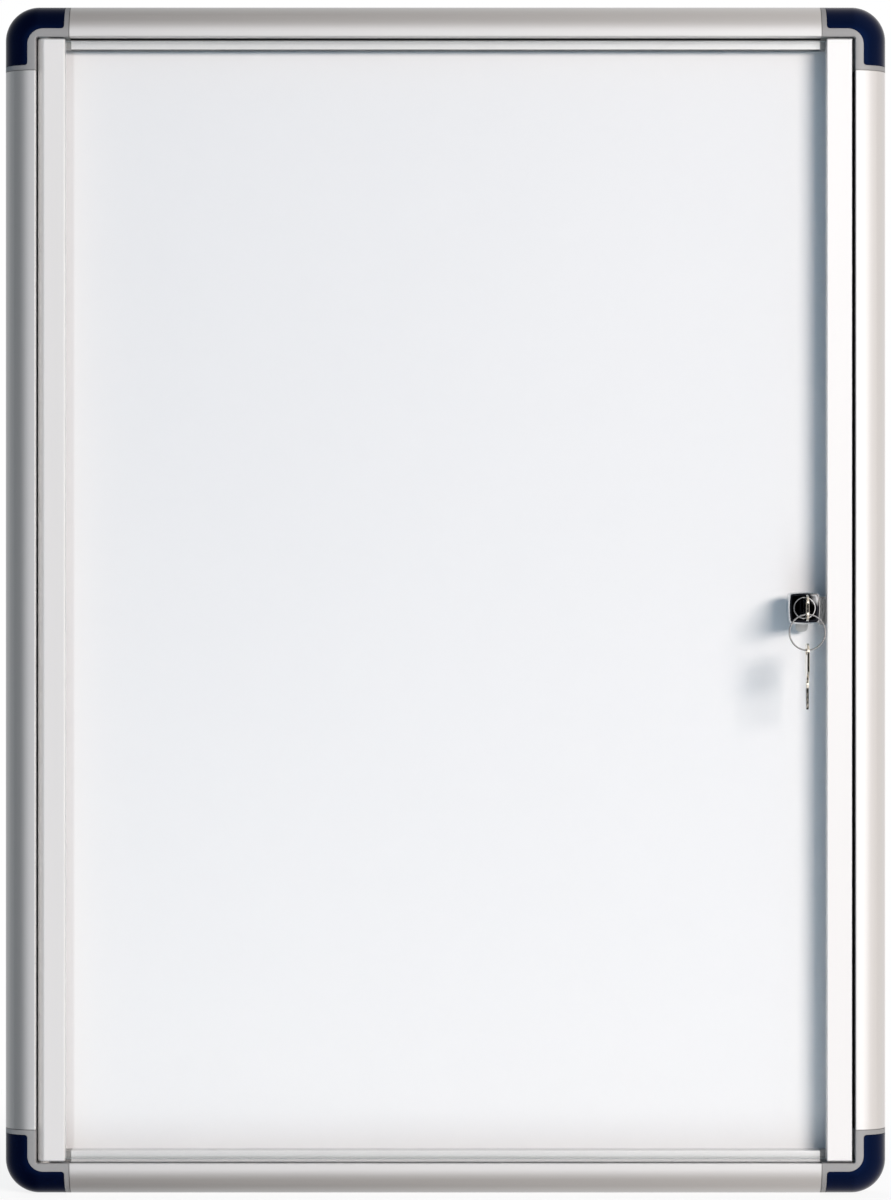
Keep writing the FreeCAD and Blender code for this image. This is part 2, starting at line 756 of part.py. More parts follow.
# Hinge pins in the stile's ends, and the bushes that they turn in
hinge_x = f"-case_width / 2 + {hinge_inset}"
stile_half = f"({stile_length} / 2)"
pin_length = "(pin_hold + end_cap_thickness + door_gap_end + bush_length - pin_chamfer)"
pin_outline = [
    ("0", "0"),
    ("pin_radius", "0"),
    ("pin_radius", f"{pin_length} - pin_chamfer"),
    ("pin_radius - pin_chamfer", pin_length),
    ("0", pin_length),
]
bush_bore = "pin_radius + pin_running_clearance"
bush_outline = [
    (bush_bore, "-bush_length"),
    ("bush_radius", "-bush_length"),
    ("bush_radius", "0"),
    ("bush_flange_radius", "0"),
    ("bush_flange_radius", "bush_flange"),
    (bush_bore, "bush_flange"),
]
for end, sign, quarter in (("top", "", 0), ("bottom", "-", 2)):
    pin = turned("hinge_pin_" + end, pin_outline, "XY_Plane")
    place(pin, hinge_x, f"-{hinge_level}", f"{sign}({stile_half} - pin_hold)", quarter_turn(quarter))
    keep(pin, "hinge_pin_" + end)
    bush = turned("hinge_bush_" + end, bush_outline, "XY_Plane")
    place(bush, hinge_x, f"-{hinge_level}", f"{sign}(case_height / 2 - rail_face)",
          quarter_turn(quarter + 2))
    keep(bush, "hinge_bush_" + end)

# Lock housing: a square with bowed sides, a rim round the cylinder, and a barrel through the pane
bow_centre = "(lock_half - lock_side_radius)"
bow_step = "(lock_side_radius - lock_corner_radius)"
corner_centre = f"(({bow_centre} + sqrt(2 * {bow_step}^2 - {bow_centre}^2)) / 2)"
side_end_out = f"({bow_centre} + lock_side_radius * ({corner_centre} - {bow_centre}) / {bow_step})"
side_end_along = f"(lock_side_radius * {corner_centre} / {bow_step})"


def lock_side_outline():
    # Four bowed sides, each tangent to the round corners beside it
    side = ("lock_side_radius", 1)
    turn = ("lock_corner_radius", 1)
    return [
        (side_end_out, f"-{side_end_along}", *side),
        (side_end_out, side_end_along, *turn),
        (side_end_along, side_end_out, *side),
        (f"-{side_end_along}", side_end_out, *turn),
        (f"-{side_end_out}", side_end_along, *side),
        (f"-{side_end_out}", f"-{side_end_along}", *turn),
        (f"-{side_end_along}", f"-{side_end_out}", *side),
        (side_end_along, f"-{side_end_out}", *turn),
    ]


housing = new_body("lock_housing")
head = slab(housing, lock_base, lock_face, [lock_side_outline()])
doc.recompute()
face_level = number_of(lock_face)
front_edges = [f"Edge{index}" for index, edge in enumerate(head.Shape.Edges, start=1)
               if all(abs(vertex.Z - face_level) < 1e-6 for vertex in edge.Vertexes)]
rounding = housing.newObject("PartDesign::Fillet", "FrontEdge")
rounding.Base = (head, front_edges)
bind(rounding, "Radius", "lock_edge_radius")
slab(housing, f"({lock_face} - overcut)", lock_front, circles=[("0", "0", "lock_rim_radius")])
slab(housing, "lock_barrel_end", f"({lock_base} + overcut)", circles=[("0", "0", "lock_barrel_radius")])
well(housing, "0", f"({lock_front} + overcut)", circles=[("0", "0", "plug_radius + plug_clearance")])
well(housing, f"({plug_step} - plug_clearance)", f"({lock_front} + overcut)",
     circles=[("0", "0", "plug_shoulder_radius + plug_clearance")])
place(housing, lock_across, "0", "lock_height")
keep(housing, "lock_housing")

barrel_bore = "lock_barrel_radius + thread_clearance"
for label, radius, low, high in (
    ("lock_gasket", "gasket_radius", glazing_front, lock_base),
    ("lock_washer", "washer_radius", washer_back, glazing_back),
):
    ring = turned(label, rectangle(barrel_bore, low, radius, high))
    place(ring, lock_across, "0", "lock_height")
    keep(ring, label)

nut_blank = doc.addObject("Part::Prism", "NutBlank")
nut_blank.Polygon = 6
bind(nut_blank, "Circumradius", "nut_circumradius")
bind(nut_blank, "Height", "nut_thickness")
place(nut_blank, lock_across, f"-({washer_back} - nut_thickness)", "lock_height")
nut_bore = cylinder(lock_across, "0", "lock_height", barrel_bore, "case_depth", FreeCAD.Vector(0, -1, 0))
keep(cut(nut_blank, nut_bore), "lock_nut")

# Lock plug, with its keyway, wafer slots, square tang and the cam screw's hole
plug = turned("lock_plug", [
    ("0", plug_end),
    ("plug_radius", plug_end),
    ("plug_radius", plug_step),
    ("plug_shoulder_radius", plug_step),
    ("plug_shoulder_radius", plug_front),
    ("0", plug_front),
])
slab(plug, "cam_back", f"({plug_end} + overcut)",
     [rectangle("-tang_half", "-tang_half", "tang_half", "tang_half")])
well(plug, "0", screw_hole_end, circles=[("0", "0", "cam_screw_radius + thread_clearance")])
keyway_half = "(key_thickness / 2 + key_clearance)"
keyway_rise = "(key_blade_half + key_clearance)"
well(plug, keyway_end, f"({plug_front} + overcut)",
     [rectangle(f"-{keyway_half}", f"-{keyway_rise}", keyway_half, keyway_rise)])
wafer_slot = "(wafer_half_width + wafer_clearance)"
wafers = []
for index in range(int(dimensions["wafer_count"])):
    high = f"({plug_front} - wafer_first - {index} * wafer_pitch)"
    low = f"({high} - wafer_thickness)"
    well(plug, f"({low} - wafer_clearance)", f"({high} + wafer_clearance)",
         [rectangle(f"-{wafer_slot}", "-plug_radius", wafer_slot, "plug_radius")])
    plate = box(f"{lock_across} - wafer_half_width", f"-{high}", "lock_height - wafer_half_height",
                "2 * wafer_half_width", "wafer_thickness", "2 * wafer_half_height")
    window = box(f"{lock_across} - {keyway_half}", f"-{high} - overcut", f"lock_height - {keyway_rise}",
                 f"2 * {keyway_half}", "wafer_thickness + 2 * overcut", f"2 * {keyway_rise}")
    wafers.append(cut(plate, window))
place(plug, lock_across, "0", "lock_height")
keep(plug, "lock_plug")
group("lock_wafers", wafers)

# Cam, hanging down when the lock is open
cam = new_body("lock_cam")
tang_hole = "(tang_half + tang_clearance)"
slab(cam, "cam_back", plug_end, [
    [
        ("cam_hub_radius", "0", "cam_hub_radius", 1),
        ("0", "cam_hub_radius", "cam_hub_radius", 1),
        ("-cam_hub_radius", "0"),
        ("-cam_arm_half", "-cam_hub_radius"),
        ("-cam_arm_half", "cam_tip_cut - cam_tip"),
        ("cam_tip_cut - cam_arm_half", "-cam_tip"),
        ("cam_arm_half - cam_tip_cut", "-cam_tip"),
        ("cam_arm_half", "cam_tip_cut - cam_tip"),
        ("cam_arm_half", "-cam_hub_radius"),
    ],
    rectangle(f"-{tang_hole}", f"-{tang_hole}", tang_hole, tang_hole),
])
place(cam, lock_across, "0", "lock_height")
keep(cam, "lock_cam")

cam_screw_back = "(cam_back - cam_screw_head)"
cam_screw = turned("cam_screw", [
    ("0", cam_screw_back),
    ("cam_screw_head_radius", cam_screw_back),
    ("cam_screw_head_radius", "cam_back"),
    ("cam_screw_radius", "cam_back"),
    ("cam_screw_radius", "cam_back + cam_screw_length"),
    ("0", "cam_back + cam_screw_length"),
])
well(cam_screw, "0", f"({cam_screw_back} + screw_slot_depth)",
     [rectangle("-plug_radius", "-screw_slot_width / 2", "plug_radius", "screw_slot_width / 2")])
place(cam_screw, lock_across, "0", "lock_height")
keep(cam_screw, "cam_screw")


# Keys: drawn on their flat side, x across the blade and y towards the bow, the shoulder at the origin
def key_body(label):
    bow_end = "(key_neck_length + key_bow_length)"
    bow_start = "(key_neck_length + key_bow_slope)"
    half_outline = [
        ("key_tip_half", "-key_blade_length"),
        ("key_blade_half", "key_tip_length - key_blade_length"),
        ("key_blade_half", "0"),
        ("key_neck_half", "0"),
        ("key_neck_half", "key_neck_length"),
        ("key_bow_half", bow_start),
        ("key_bow_half", f"{bow_end} - key_bow_radius"),
        ("key_bow_half - key_bow_radius", bow_end),
    ]
    right = list(half_outline)
    left = [(f"-({x})", y) for x, y in reversed(half_outline)]
    right[-2] = (*right[-2], "key_bow_radius", 1)
    left[0] = (*left[0], "key_bow_radius", 1)
    hole_low = f"({key_hole_centre} - key_hole_width / 2)"
    hole_high = f"({key_hole_centre} + key_hole_width / 2)"
    hole_round = "(key_hole_width / 2)"
    hole_side = "(key_hole_half - key_hole_width / 2)"
    hole = [
        (hole_side, hole_low, hole_round, 1),
        ("key_hole_half", key_hole_centre, hole_round, 1),
        (hole_side, hole_high),
        (f"-{hole_side}", hole_high, hole_round, 1),
        ("-key_hole_half", key_hole_centre, hole_round, 1),
        (f"-{hole_side}", hole_low),
    ]
    body = new_body(label)
    blank = sketch_on(body, "YZ_Plane", "-key_thickness / 2")
    draw(blank, right + left)
    draw(blank, hole)
    add_feature(body, "Pad", blank, "key_thickness")
    notches = sketch_on(body, "YZ_Plane", "key_thickness / 2 + overcut")
    for index in range(int(dimensions["key_notch_count"])):
        middle = f"(key_tip_length - key_blade_length + key_notch_first + {index} * key_notch_pitch)"
        sign = "-" if index % 2 else ""
        for side, depth in (("", "key_notch_depth"), ("-", "key_notch_depth / 2")):
            edge = f"{side}{sign}(key_blade_half + overcut)"
            draw(notches, [
                (edge, f"{middle} - key_notch_half"),
                (f"{side}{sign}(key_blade_half - {depth})", middle),
                (edge, f"{middle} + key_notch_half"),
            ])
    add_feature(body, "Pocket", notches, "key_thickness + 2 * overcut")
    return body


door_key = key_body("door_key")
place(door_key, lock_across, f"-{key_seat}", "lock_height")
keep(door_key, "door_key")

ring_out = "(ring_radius + ring_wire / 2)"
ring_in = "(ring_radius - ring_wire / 2)"
ring_soft = "ring_wire / 4"
key_ring = turned("key_ring", [
    (f"{ring_in} + {ring_soft}", "-ring_width / 2"),
    (f"{ring_out} - {ring_soft}", "-ring_width / 2"),
    (ring_out, f"{ring_soft} - ring_width / 2"),
    (ring_out, f"ring_width / 2 - {ring_soft}"),
    (f"{ring_out} - {ring_soft}", "ring_width / 2"),
    (f"{ring_in} + {ring_soft}", "ring_width / 2"),
    (ring_in, f"ring_width / 2 - {ring_soft}"),
    (ring_in, f"{ring_soft} - ring_width / 2"),
])
place(key_ring, lock_across, f"-{ring_forward}", ring_centre)
keep(key_ring, "key_ring")

spare_key = key_body("spare_key")
hole_top = f"({key_hole_centre} + key_hole_width / 2 - ring_wire / 2 - ring_rest_gap)"
spare_turn = FreeCAD.Rotation(FreeCAD.Vector(0, 0, 1), dimensions["spare_key_turn"])
place(spare_key, lock_across, f"-{ring_forward}", f"{spare_hang} - {hole_top}", spare_turn)
keep(spare_key, "spare_key")

# Keeper: a bent bracket on the right rail, whose plate the cam turns behind
keeper_high = f"({keeper_low} + keeper_thickness)"
keeper = extrusion("lock_keeper", [[
    ("0", keeper_bottom),
    ("keeper_thickness", keeper_bottom),
    ("keeper_thickness", keeper_low),
    (f"{keeper_seat} - {keeper_end}", keeper_low),
    (f"{keeper_seat} - {keeper_end}", keeper_high),
    ("0", keeper_high),
]], "(2 * keeper_half)")
keeper_bores = sketch_on(keeper, "YZ_Plane", "keeper_thickness + overcut")
for sign in ("+", "-"):
    draw_circle(keeper_bores, f"0 {sign} keeper_screw_half_pitch", keeper_screw_level,
                "keeper_screw_radius + keeper_screw_fit")
add_feature(keeper, "Pocket", keeper_bores, "keeper_thickness + 2 * overcut")
place(keeper, keeper_seat, "0", keeper_height, quarter_turn(2))
keep(keeper, "lock_keeper")

keeper_screws = []
for sign in ("+", "-"):
    z = f"{keeper_height} {sign} keeper_screw_half_pitch"
    y = f"-{keeper_screw_level}"
    right = FreeCAD.Vector(1, 0, 0)
    under_head = f"{keeper_seat} - keeper_thickness"
    head_end = f"{under_head} - keeper_screw_head"
    head = cylinder(head_end, y, z, "keeper_screw_head_radius", "keeper_screw_head", right)
    shank = cylinder(head_end, y, z, "keeper_screw_radius", "keeper_screw_head + keeper_screw_length",
                     right)
    slot = box(f"{head_end} - overcut", f"{y} - keeper_screw_head_radius",
               f"{z} - screw_slot_width / 2", "overcut + screw_slot_depth", "2 * keeper_screw_head_radius",
               "screw_slot_width")
    keeper_screws.append(cut(fuse(head, shank), slot))
group("keeper_screws", keeper_screws)

doc.recompute()

faults = [item.Label for item in doc.Objects if "Invalid" in item.State or "Error" in item.State]
faults += [piece.Label for piece in pieces if piece.Shape.isNull() or not piece.Shape.isValid()]
if faults:
    raise RuntimeError("failed: " + ", ".join(faults))

os.makedirs("parts", exist_ok=True)
for piece in pieces:
    piece.Shape.exportStep(f"parts/{piece.Label}.step")
    print(f"{piece.Label}: {len(piece.Shape.Solids)} solid(s), {piece.Shape.Volume:.1f} mm3")
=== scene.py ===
import math

import bmesh
import bpy
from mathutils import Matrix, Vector


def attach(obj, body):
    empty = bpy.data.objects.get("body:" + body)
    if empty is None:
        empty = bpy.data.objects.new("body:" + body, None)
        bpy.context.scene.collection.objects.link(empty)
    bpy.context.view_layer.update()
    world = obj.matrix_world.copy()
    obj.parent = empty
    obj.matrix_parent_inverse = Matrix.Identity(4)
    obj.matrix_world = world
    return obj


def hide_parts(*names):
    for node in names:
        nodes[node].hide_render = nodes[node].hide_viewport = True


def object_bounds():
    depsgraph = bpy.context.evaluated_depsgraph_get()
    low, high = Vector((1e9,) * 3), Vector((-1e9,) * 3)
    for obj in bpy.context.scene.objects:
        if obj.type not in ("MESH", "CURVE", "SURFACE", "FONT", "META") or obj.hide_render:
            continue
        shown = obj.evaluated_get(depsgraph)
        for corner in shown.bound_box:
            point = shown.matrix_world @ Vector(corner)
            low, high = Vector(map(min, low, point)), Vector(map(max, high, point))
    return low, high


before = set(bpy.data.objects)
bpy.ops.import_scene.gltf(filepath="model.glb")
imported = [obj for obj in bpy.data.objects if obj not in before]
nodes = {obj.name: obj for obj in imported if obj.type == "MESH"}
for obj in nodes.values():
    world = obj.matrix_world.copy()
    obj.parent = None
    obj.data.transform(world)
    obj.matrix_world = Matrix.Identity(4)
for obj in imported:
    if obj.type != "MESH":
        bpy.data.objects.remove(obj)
cadLow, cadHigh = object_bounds()  # the construction's own box, before anything is added
bpy.ops.object.select_all(action="DESELECT")
print("frame loaded:", len(nodes), "nodes")


class Wire:
    # An output socket of a node tree. Arithmetic on it adds Math nodes, add() makes any other node.
    def __init__(self, tree, socket=None):
        self.tree = tree
        self.socket = socket

    def add(self, kind, settings={}, sockets={}, output=0):
        node = self.tree.nodes.new(kind)
        for name, value in settings.items():
            setattr(node, name, value)
        for name, value in sockets.items():
            if isinstance(value, Wire):
                self.tree.links.new(value.socket, node.inputs[name])
            else:
                node.inputs[name].default_value = value
        return Wire(self.tree, node.outputs[output] if node.outputs else None)

    def maths(self, operation, first, second=0.0):
        return self.add("ShaderNodeMath", {"operation": operation}, {0: first, 1: second})

    def __add__(self, other):
        return self.maths("ADD", self, other)

    def __radd__(self, other):
        return self.maths("ADD", other, self)

    def __sub__(self, other):
        return self.maths("SUBTRACT", self, other)

    def __rsub__(self, other):
        return self.maths("SUBTRACT", other, self)

    def __mul__(self, other):
        return self.maths("MULTIPLY", self, other)

    def __rmul__(self, other):
        return self.maths("MULTIPLY", other, self)

    # Short forms of the nodes that most finishes use
    def outputs(self, *names):
        return [Wire(self.tree, self.socket.node.outputs[name]) for name in names]

    def axes(self, vector):
        return self.add("ShaderNodeSeparateXYZ", {}, {"Vector": vector}).outputs("X", "Y", "Z")

    def measure(self, operation, first, second=(0, 0, 0)):
        # A length, distance or dot product
        return self.add("ShaderNodeVectorMath", {"operation": operation}, {
            0: first, 1: second}, output="Value")

    def place(self, output="Object"):
        return self.add("ShaderNodeTexCoord", output=output)

    def scaled(self, vector, scale):
        return self.add("ShaderNodeMapping", {}, {"Vector": vector, "Scale": scale})

    def noise(self, vector, scale, detail=2.0, roughness=0.5):
        return self.add("ShaderNodeTexNoise", {}, {
            "Vector": vector, "Scale": scale, "Detail": detail, "Roughness": roughness})

    def streaks(self, vector, scale, detail=2.0, roughness=0.5):
        # Noise with its own scale along each axis
        return self.noise(self.scaled(vector, scale), 1.0, detail, roughness)

    def ramp(self, value, low, high):
        return self.add("ShaderNodeMapRange", {"interpolation_type": "SMOOTHSTEP"}, {
            "Value": value, "From Min": low, "From Max": high})

    def blend(self, share, first, second):
        return self.add("ShaderNodeMix", {"data_type": "RGBA"}, {0: share, 6: first, 7: second}, output=2)

    def bump(self, height, strength, distance):
        return self.add("ShaderNodeBump", {}, {
            "Height": height, "Strength": strength, "Distance": distance})

    def mixShader(self, share, first, second):
        return self.add("ShaderNodeMixShader", {}, {0: share, 1: first, 2: second})


plainWhite = (1, 1, 1, 1)
plainBlack = (0, 0, 0, 1)


def rgba(colour):
    return (*colour, 1.0)


def newFinish(name):
    material = bpy.data.materials.new(name)
    material.use_nodes = True
    material.node_tree.nodes.clear()
    return material, Wire(material.node_tree)


def closeFinish(wire, sockets):
    shader = wire.add("ShaderNodeBsdfPrincipled", {}, sockets)
    wire.add("ShaderNodeOutputMaterial", {}, {"Surface": shader})


# Camera: square in front of the case
cameraView = {
    "distance": 3.2,  # metres, from the plane that the field is measured in
    "planeDepth": 0.014,  # that plane, in front of the wall
    "fieldHeight": 0.9832,  # what the picture's height takes in there
    "sensor": 36.0,
    "farEnd": 60.0,
}


def addCamera(view):
    spot = (0, -view["planeDepth"] - view["distance"], 0)
    bpy.ops.object.camera_add(location=spot, rotation=(math.pi / 2, 0, 0))
    camera = bpy.context.object
    camera.name = "frontCamera"
    camera.data.sensor_width = view["sensor"]
    camera.data.lens = view["sensor"] * view["distance"] / view["fieldHeight"]
    camera.data.clip_end = view["farEnd"]
    bpy.context.scene.camera = camera


addCamera(cameraView)
bpy.context.scene.view_settings.view_transform = "Standard"
print("camera set")

# Studio: what polished parts mirror is a white room, lit round the camera and on the right, with a dark bay
# where the camera stands
studio = {
    "ambient": (0.0, 0.09, 0.185),
    # the axis a glow lies along, where it sets in and is full there, and its colour
    "glows": {
        "front": {"axis": "Y", "span": (-0.711, -0.983), "colour": (1.17, 1.18, 1.21)},
        "right": {"axis": "X", "span": (-0.18, 0.22), "colour": (0.92, 0.85, 0.80)},
        "left": {"axis": "X", "span": (-0.390, -1.0), "colour": (0.22, 0.232, 0.24)},
        "above": {"axis": "Z", "span": (0.390, 1.0), "colour": (0.07, 0.07, 0.07)},
    },
    "room": (-0.5, 2.0),  # where white takes over towards the back
    "bay": {"way": (-0.012, -0.9998, 0.015), "span": (0.970, 0.988), "depth": 0.99},
}


def addStudio(look):
    world = bpy.data.worlds.new("studioSurround")
    world.use_nodes = True
    world.node_tree.nodes.clear()
    wire = Wire(world.node_tree)
    way = wire.place("Generated")
    axes = dict(zip("XYZ", wire.axes(way)))
    mirrored = plainBlack
    for glow in look["glows"].values():
        lit = wire.ramp(axes[glow["axis"]], *glow["span"])
        mirrored = wire.add("ShaderNodeMix", {"data_type": "RGBA", "blend_type": "ADD"}, {
            0: lit, 6: mirrored, 7: rgba(glow["colour"])}, output=2)
    mirrored = wire.blend(wire.ramp(axes["Y"], *look["room"]), mirrored, plainWhite)
    bay = look["bay"]
    near = wire.measure("DOT_PRODUCT", way, bay["way"])
    mirrored = wire.blend(bay["depth"] * wire.ramp(near, *bay["span"]), mirrored, plainBlack)
    camera, glossy, through = wire.add("ShaderNodeLightPath").outputs(
        "Is Camera Ray", "Is Glossy Ray", "Is Transmission Ray")
    colour = wire.blend(glossy, rgba(look["ambient"]), mirrored)
    colour = wire.blend(wire.maths("MAXIMUM", camera, through), colour, plainWhite)
    background = wire.add("ShaderNodeBackground", {}, {"Color": colour, "Strength": 1.0})
    wire.add("ShaderNodeOutputWorld", {}, {"Surface": background})
    bpy.context.scene.world = world


# All lamps look at the middle of the back; only the glint shows in polished parts
lamps = {
    "keyLamp": {
        "spot": (3.1, -5.2, 1.35), "sides": (2.8, 1.2), "power": 354.0, "colour": (1.0, 0.879, 0.804),
        "mirrored": False},
    "glintLamp": {
        "spot": (3.1, -5.2, 1.35), "sides": (1.1, 1.1), "power": 34.0, "colour": (1.0, 1.0, 1.0),
        "mirrored": True},
    "fillLamp": {
        "spot": (0.1, -2.4, -2.55), "sides": (1.8, 1.8), "power": 30.5, "colour": (0.89, 0.97, 1.0),
        "mirrored": False},
    "rearLamp": {
        "spot": (-1.6, 4.4, 2.2), "sides": (2.0, 2.0), "power": 150.0, "colour": (1.0, 0.96, 0.92),
        "mirrored": False},
}


def addLamp(name, lamp):
    spot = Vector(lamp["spot"])
    bpy.ops.object.light_add(type="AREA", location=spot)
    item = bpy.context.object
    item.name = name
    item.rotation_euler = (-spot).to_track_quat("-Z", "Y").to_euler()
    item.data.shape = "RECTANGLE"
    item.data.size, item.data.size_y = lamp["sides"]
    item.data.energy = lamp["power"]
    item.data.color = lamp["colour"]
    item.visible_glossy = lamp["mirrored"]


floorLook = {
    "radius": 1.8,
    "corners": 96,
    "clear": 0.0005,  # gap under the case
    "tones": ((0.9212, 0.9212, 0.9212), (0.94, 0.94, 0.94)),
    "speckle": 900.0,
    "roughness": 0.6,
    "pale": 0.8,  # share of plain white that the camera sees near the case
    "fade": (0.40, 0.95),  # where its shade runs out into plain white
    "shape": (1.6, 1, 0),  # that runs out sooner at the sides
}


def addFloor(look):
    level = cadLow.z - look["clear"]
    bpy.ops.mesh.primitive_circle_add(
        vertices=look["corners"], radius=look["radius"], fill_type="NGON", location=(0, 0, level))
    floor = bpy.context.object
    floor.name = "floor"
    bpy.ops.object.transform_apply(location=True)
    material, wire = newFinish("floorPale")
    place = wire.place()
    away = wire.measure("LENGTH", wire.scaled(place, look["shape"]))
    camera = wire.add("ShaderNodeLightPath", output="Is Camera Ray")
    under = wire.add("ShaderNodeNewGeometry", output="Backfacing")
    low, high = look["tones"]
    tone = wire.blend(wire.noise(place, look["speckle"], 3.0), rgba(low), rgba(high))
    matt = wire.add("ShaderNodeBsdfDiffuse", {}, {"Color": tone, "Roughness": look["roughness"]})
    white = wire.add("ShaderNodeEmission", {}, {"Color": plainWhite, "Strength": 1.0})
    clear = wire.add("ShaderNodeBsdfTransparent")
    pale = look["pale"] + (1 - look["pale"]) * wire.ramp(away, *look["fade"])
    shown = wire.mixShader(under, wire.mixShader(camera * pale, matt, white), clear)
    wire.add("ShaderNodeOutputMaterial", {}, {"Surface": shown})
    floor.data.materials.append(material)
    floor.visible_glossy = False  # polished parts mirror the studio instead
    floor.visible_shadow = False  # the fill comes from below its level


addStudio(studio)
for name, lamp in lamps.items():
    addLamp(name, lamp)
addFloor(floorLook)
print("studio lit")

# Aluminium profiles. Painted shade in the door gap, the seams and under the top ledge is placed by how far it
# lies across the case and in front of the wall (minus Y), each edge given as where it sets in and where it is
# full
railLook = {
    "tones": ((0.72, 0.72, 0.725), (0.78, 0.78, 0.78)),
    "roughness": 0.415,
    "drawnLines": (1400.0, 5.0),  # lines per metre across the rail, and how often they break along it
    # near-black colour of the painted shade in the door gap, the seams and under the top ledge
    "paintedShade": (0.022, 0.022, 0.024),
    "lips": {"Z": 0.3335, "X": 0.4585},  # inner faces of the upright and the level rails
    "lipEdge": (0.0003, 0.0001),  # past those faces
    # where the painted shade in the door gap sets in and ends behind the front, and how far it runs over the
    # ledge
    "gaps": {
        "Z": ((-0.0240, 0.0, 0.0030), (-0.0340, 0.0, 0.0030)),  # left, right
        "X": ((-0.0338, -0.0265, 0.0003), (-0.0262, 0.0, 0.0016)),  # bottom, top
    },
    "gapEdge": 0.0004,
    "gapFull": 0.4,  # share of the reach over the ledge where the painted shade is full
    "ends": {"Z": 0.4316, "X": 0.3066},  # seams against the corner mouldings
    "seamEdge": (0.0008, 0.0002),
    "seamShare": 0.6,
    "underLedge": 0.4503,  # edge of the top ledge
    "underEdge": (0.0003, 0.0001),
    "underDepth": (-0.0199, -0.0196),
    "underShare": 0.85,
    # paler tone painted on the ledge fronts behind the door, a painted brightening
    "ledgeLitTone": (0.92, 0.91, 0.905),
    "ledgeFront": (-0.0215, -0.0205),
    "ledgeBack": (-0.0190, -0.0195),
}
stileLook = {
    "tones": ((0.86, 0.86, 0.865), (0.90, 0.90, 0.90)),
    "roughness": 0.45,
    "drawnLines": (1800.0, 6.0),
    "nose": (-0.3270, -0.3300),  # across, where the hinge nose is worn dull and painted paler, a painted highlight on its round that faces away from the light
    "noseDull": 0.35,
    "noseLitTone": (0.95, 0.95, 0.95),
}
drawnMarks = {
    "cloud": 9.0,
    "grain": 5200.0,
    "toneShares": (0.7, 0.3),  # lines, cloud
    "glossBase": -0.06,
    "glossShares": (0.08, 0.05),  # lines, grain
    "bumpGrain": 0.4,
    "bump": (0.12, 0.00004),
}


def gapPaintedShade(wire, look, place, lengthAxis):
    # Painted shade, nearly black: in the gap round the door, in the seams, and under the ledge at the top
    # only
    x, y, z = wire.axes(place)
    across, along = (x, z) if lengthAxis == "Z" else (z, x)
    lip = look["lips"][lengthAxis]
    lipStart, lipFull = look["lipEdge"]
    edge = look["gapEdge"]
    paintedShade = 0.0
    for side, (start, stop, reach) in zip((-1, 1), look["gaps"][lengthAxis]):
        onLedge = wire.ramp(side * across, lip - reach, lip - look["gapFull"] * reach)
        onWall = wire.ramp(side * across, lip + lipStart, lip + lipFull)
        started = wire.ramp(y, start, start + edge)
        ended = wire.ramp(y, stop, stop - edge)
        paintedShade = paintedShade + onLedge * onWall * started * ended
    end = look["ends"][lengthAxis]
    seamStart, seamFull = look["seamEdge"]
    seam = wire.ramp(wire.maths("ABSOLUTE", along), end - seamStart, end - seamFull)
    paintedShade = wire.maths("MAXIMUM", paintedShade, look["seamShare"] * seam)
    if lengthAxis == "X":
        ledge = look["underLedge"]
        start, full = look["underEdge"]
        under = wire.ramp(z, ledge - start, ledge - full) * wire.ramp(z, ledge + start, ledge + full)
        under = look["underShare"] * under * wire.ramp(y, *look["underDepth"])
        paintedShade = wire.maths("MAXIMUM", paintedShade, under)
    return paintedShade


def ledgeLitMask(wire, look, place):
    # The ledge fronts behind the door are painted paler: a painted brightening of faces that the lips shade
    y, z = wire.axes(place)[1:]
    lip = look["lips"]["X"]
    inside = wire.ramp(wire.maths("ABSOLUTE", z), lip + look["lipEdge"][0], lip)
    return inside * wire.ramp(y, *look["ledgeFront"]) * wire.ramp(y, *look["ledgeBack"])


def drawnAluminium(name, look, lengthAxis):
    # Satin anodised profile: fine lines run along it, with a faint cloud over them
    material, wire = newFinish(name)
    place = wire.place()
    across, along = look["drawnLines"]
    scale = [across] * 3
    scale["XYZ".index(lengthAxis)] = along
    lines = wire.streaks(place, scale, 3.0, 0.6)
    cloud = wire.noise(place, drawnMarks["cloud"])
    grain = wire.noise(place, drawnMarks["grain"], 1.0)
    low, high = look["tones"]
    lineShare, cloudShare = drawnMarks["toneShares"]
    tone = wire.blend(lineShare * lines + cloudShare * cloud, rgba(low), rgba(high))
    lineGloss, grainGloss = drawnMarks["glossShares"]
    gloss = look["roughness"] + drawnMarks["glossBase"] + lineGloss * lines + grainGloss * grain
    if "paintedShade" in look:
        # painted light on the ledge fronts behind the door
        tone = wire.blend(ledgeLitMask(wire, look, place), tone, rgba(look["ledgeLitTone"]))
        # painted shade in the door gap, the seams and under the top ledge
        tone = wire.blend(gapPaintedShade(wire, look, place, lengthAxis), tone, rgba(look["paintedShade"]))
    if "nose" in look:
        nose = wire.ramp(wire.axes(place)[0], *look["nose"])
        gloss = gloss + look["noseDull"] * nose
        # painted highlight: a paler tone on the hinge nose
        tone = wire.blend(nose, tone, rgba(look["noseLitTone"]))
    closeFinish(wire, {
        "Base Color": tone,
        "Metallic": 1.0,
        "Roughness": gloss,
        "Normal": wire.bump(lines + drawnMarks["bumpGrain"] * grain, *drawnMarks["bump"]),
    })
    return material


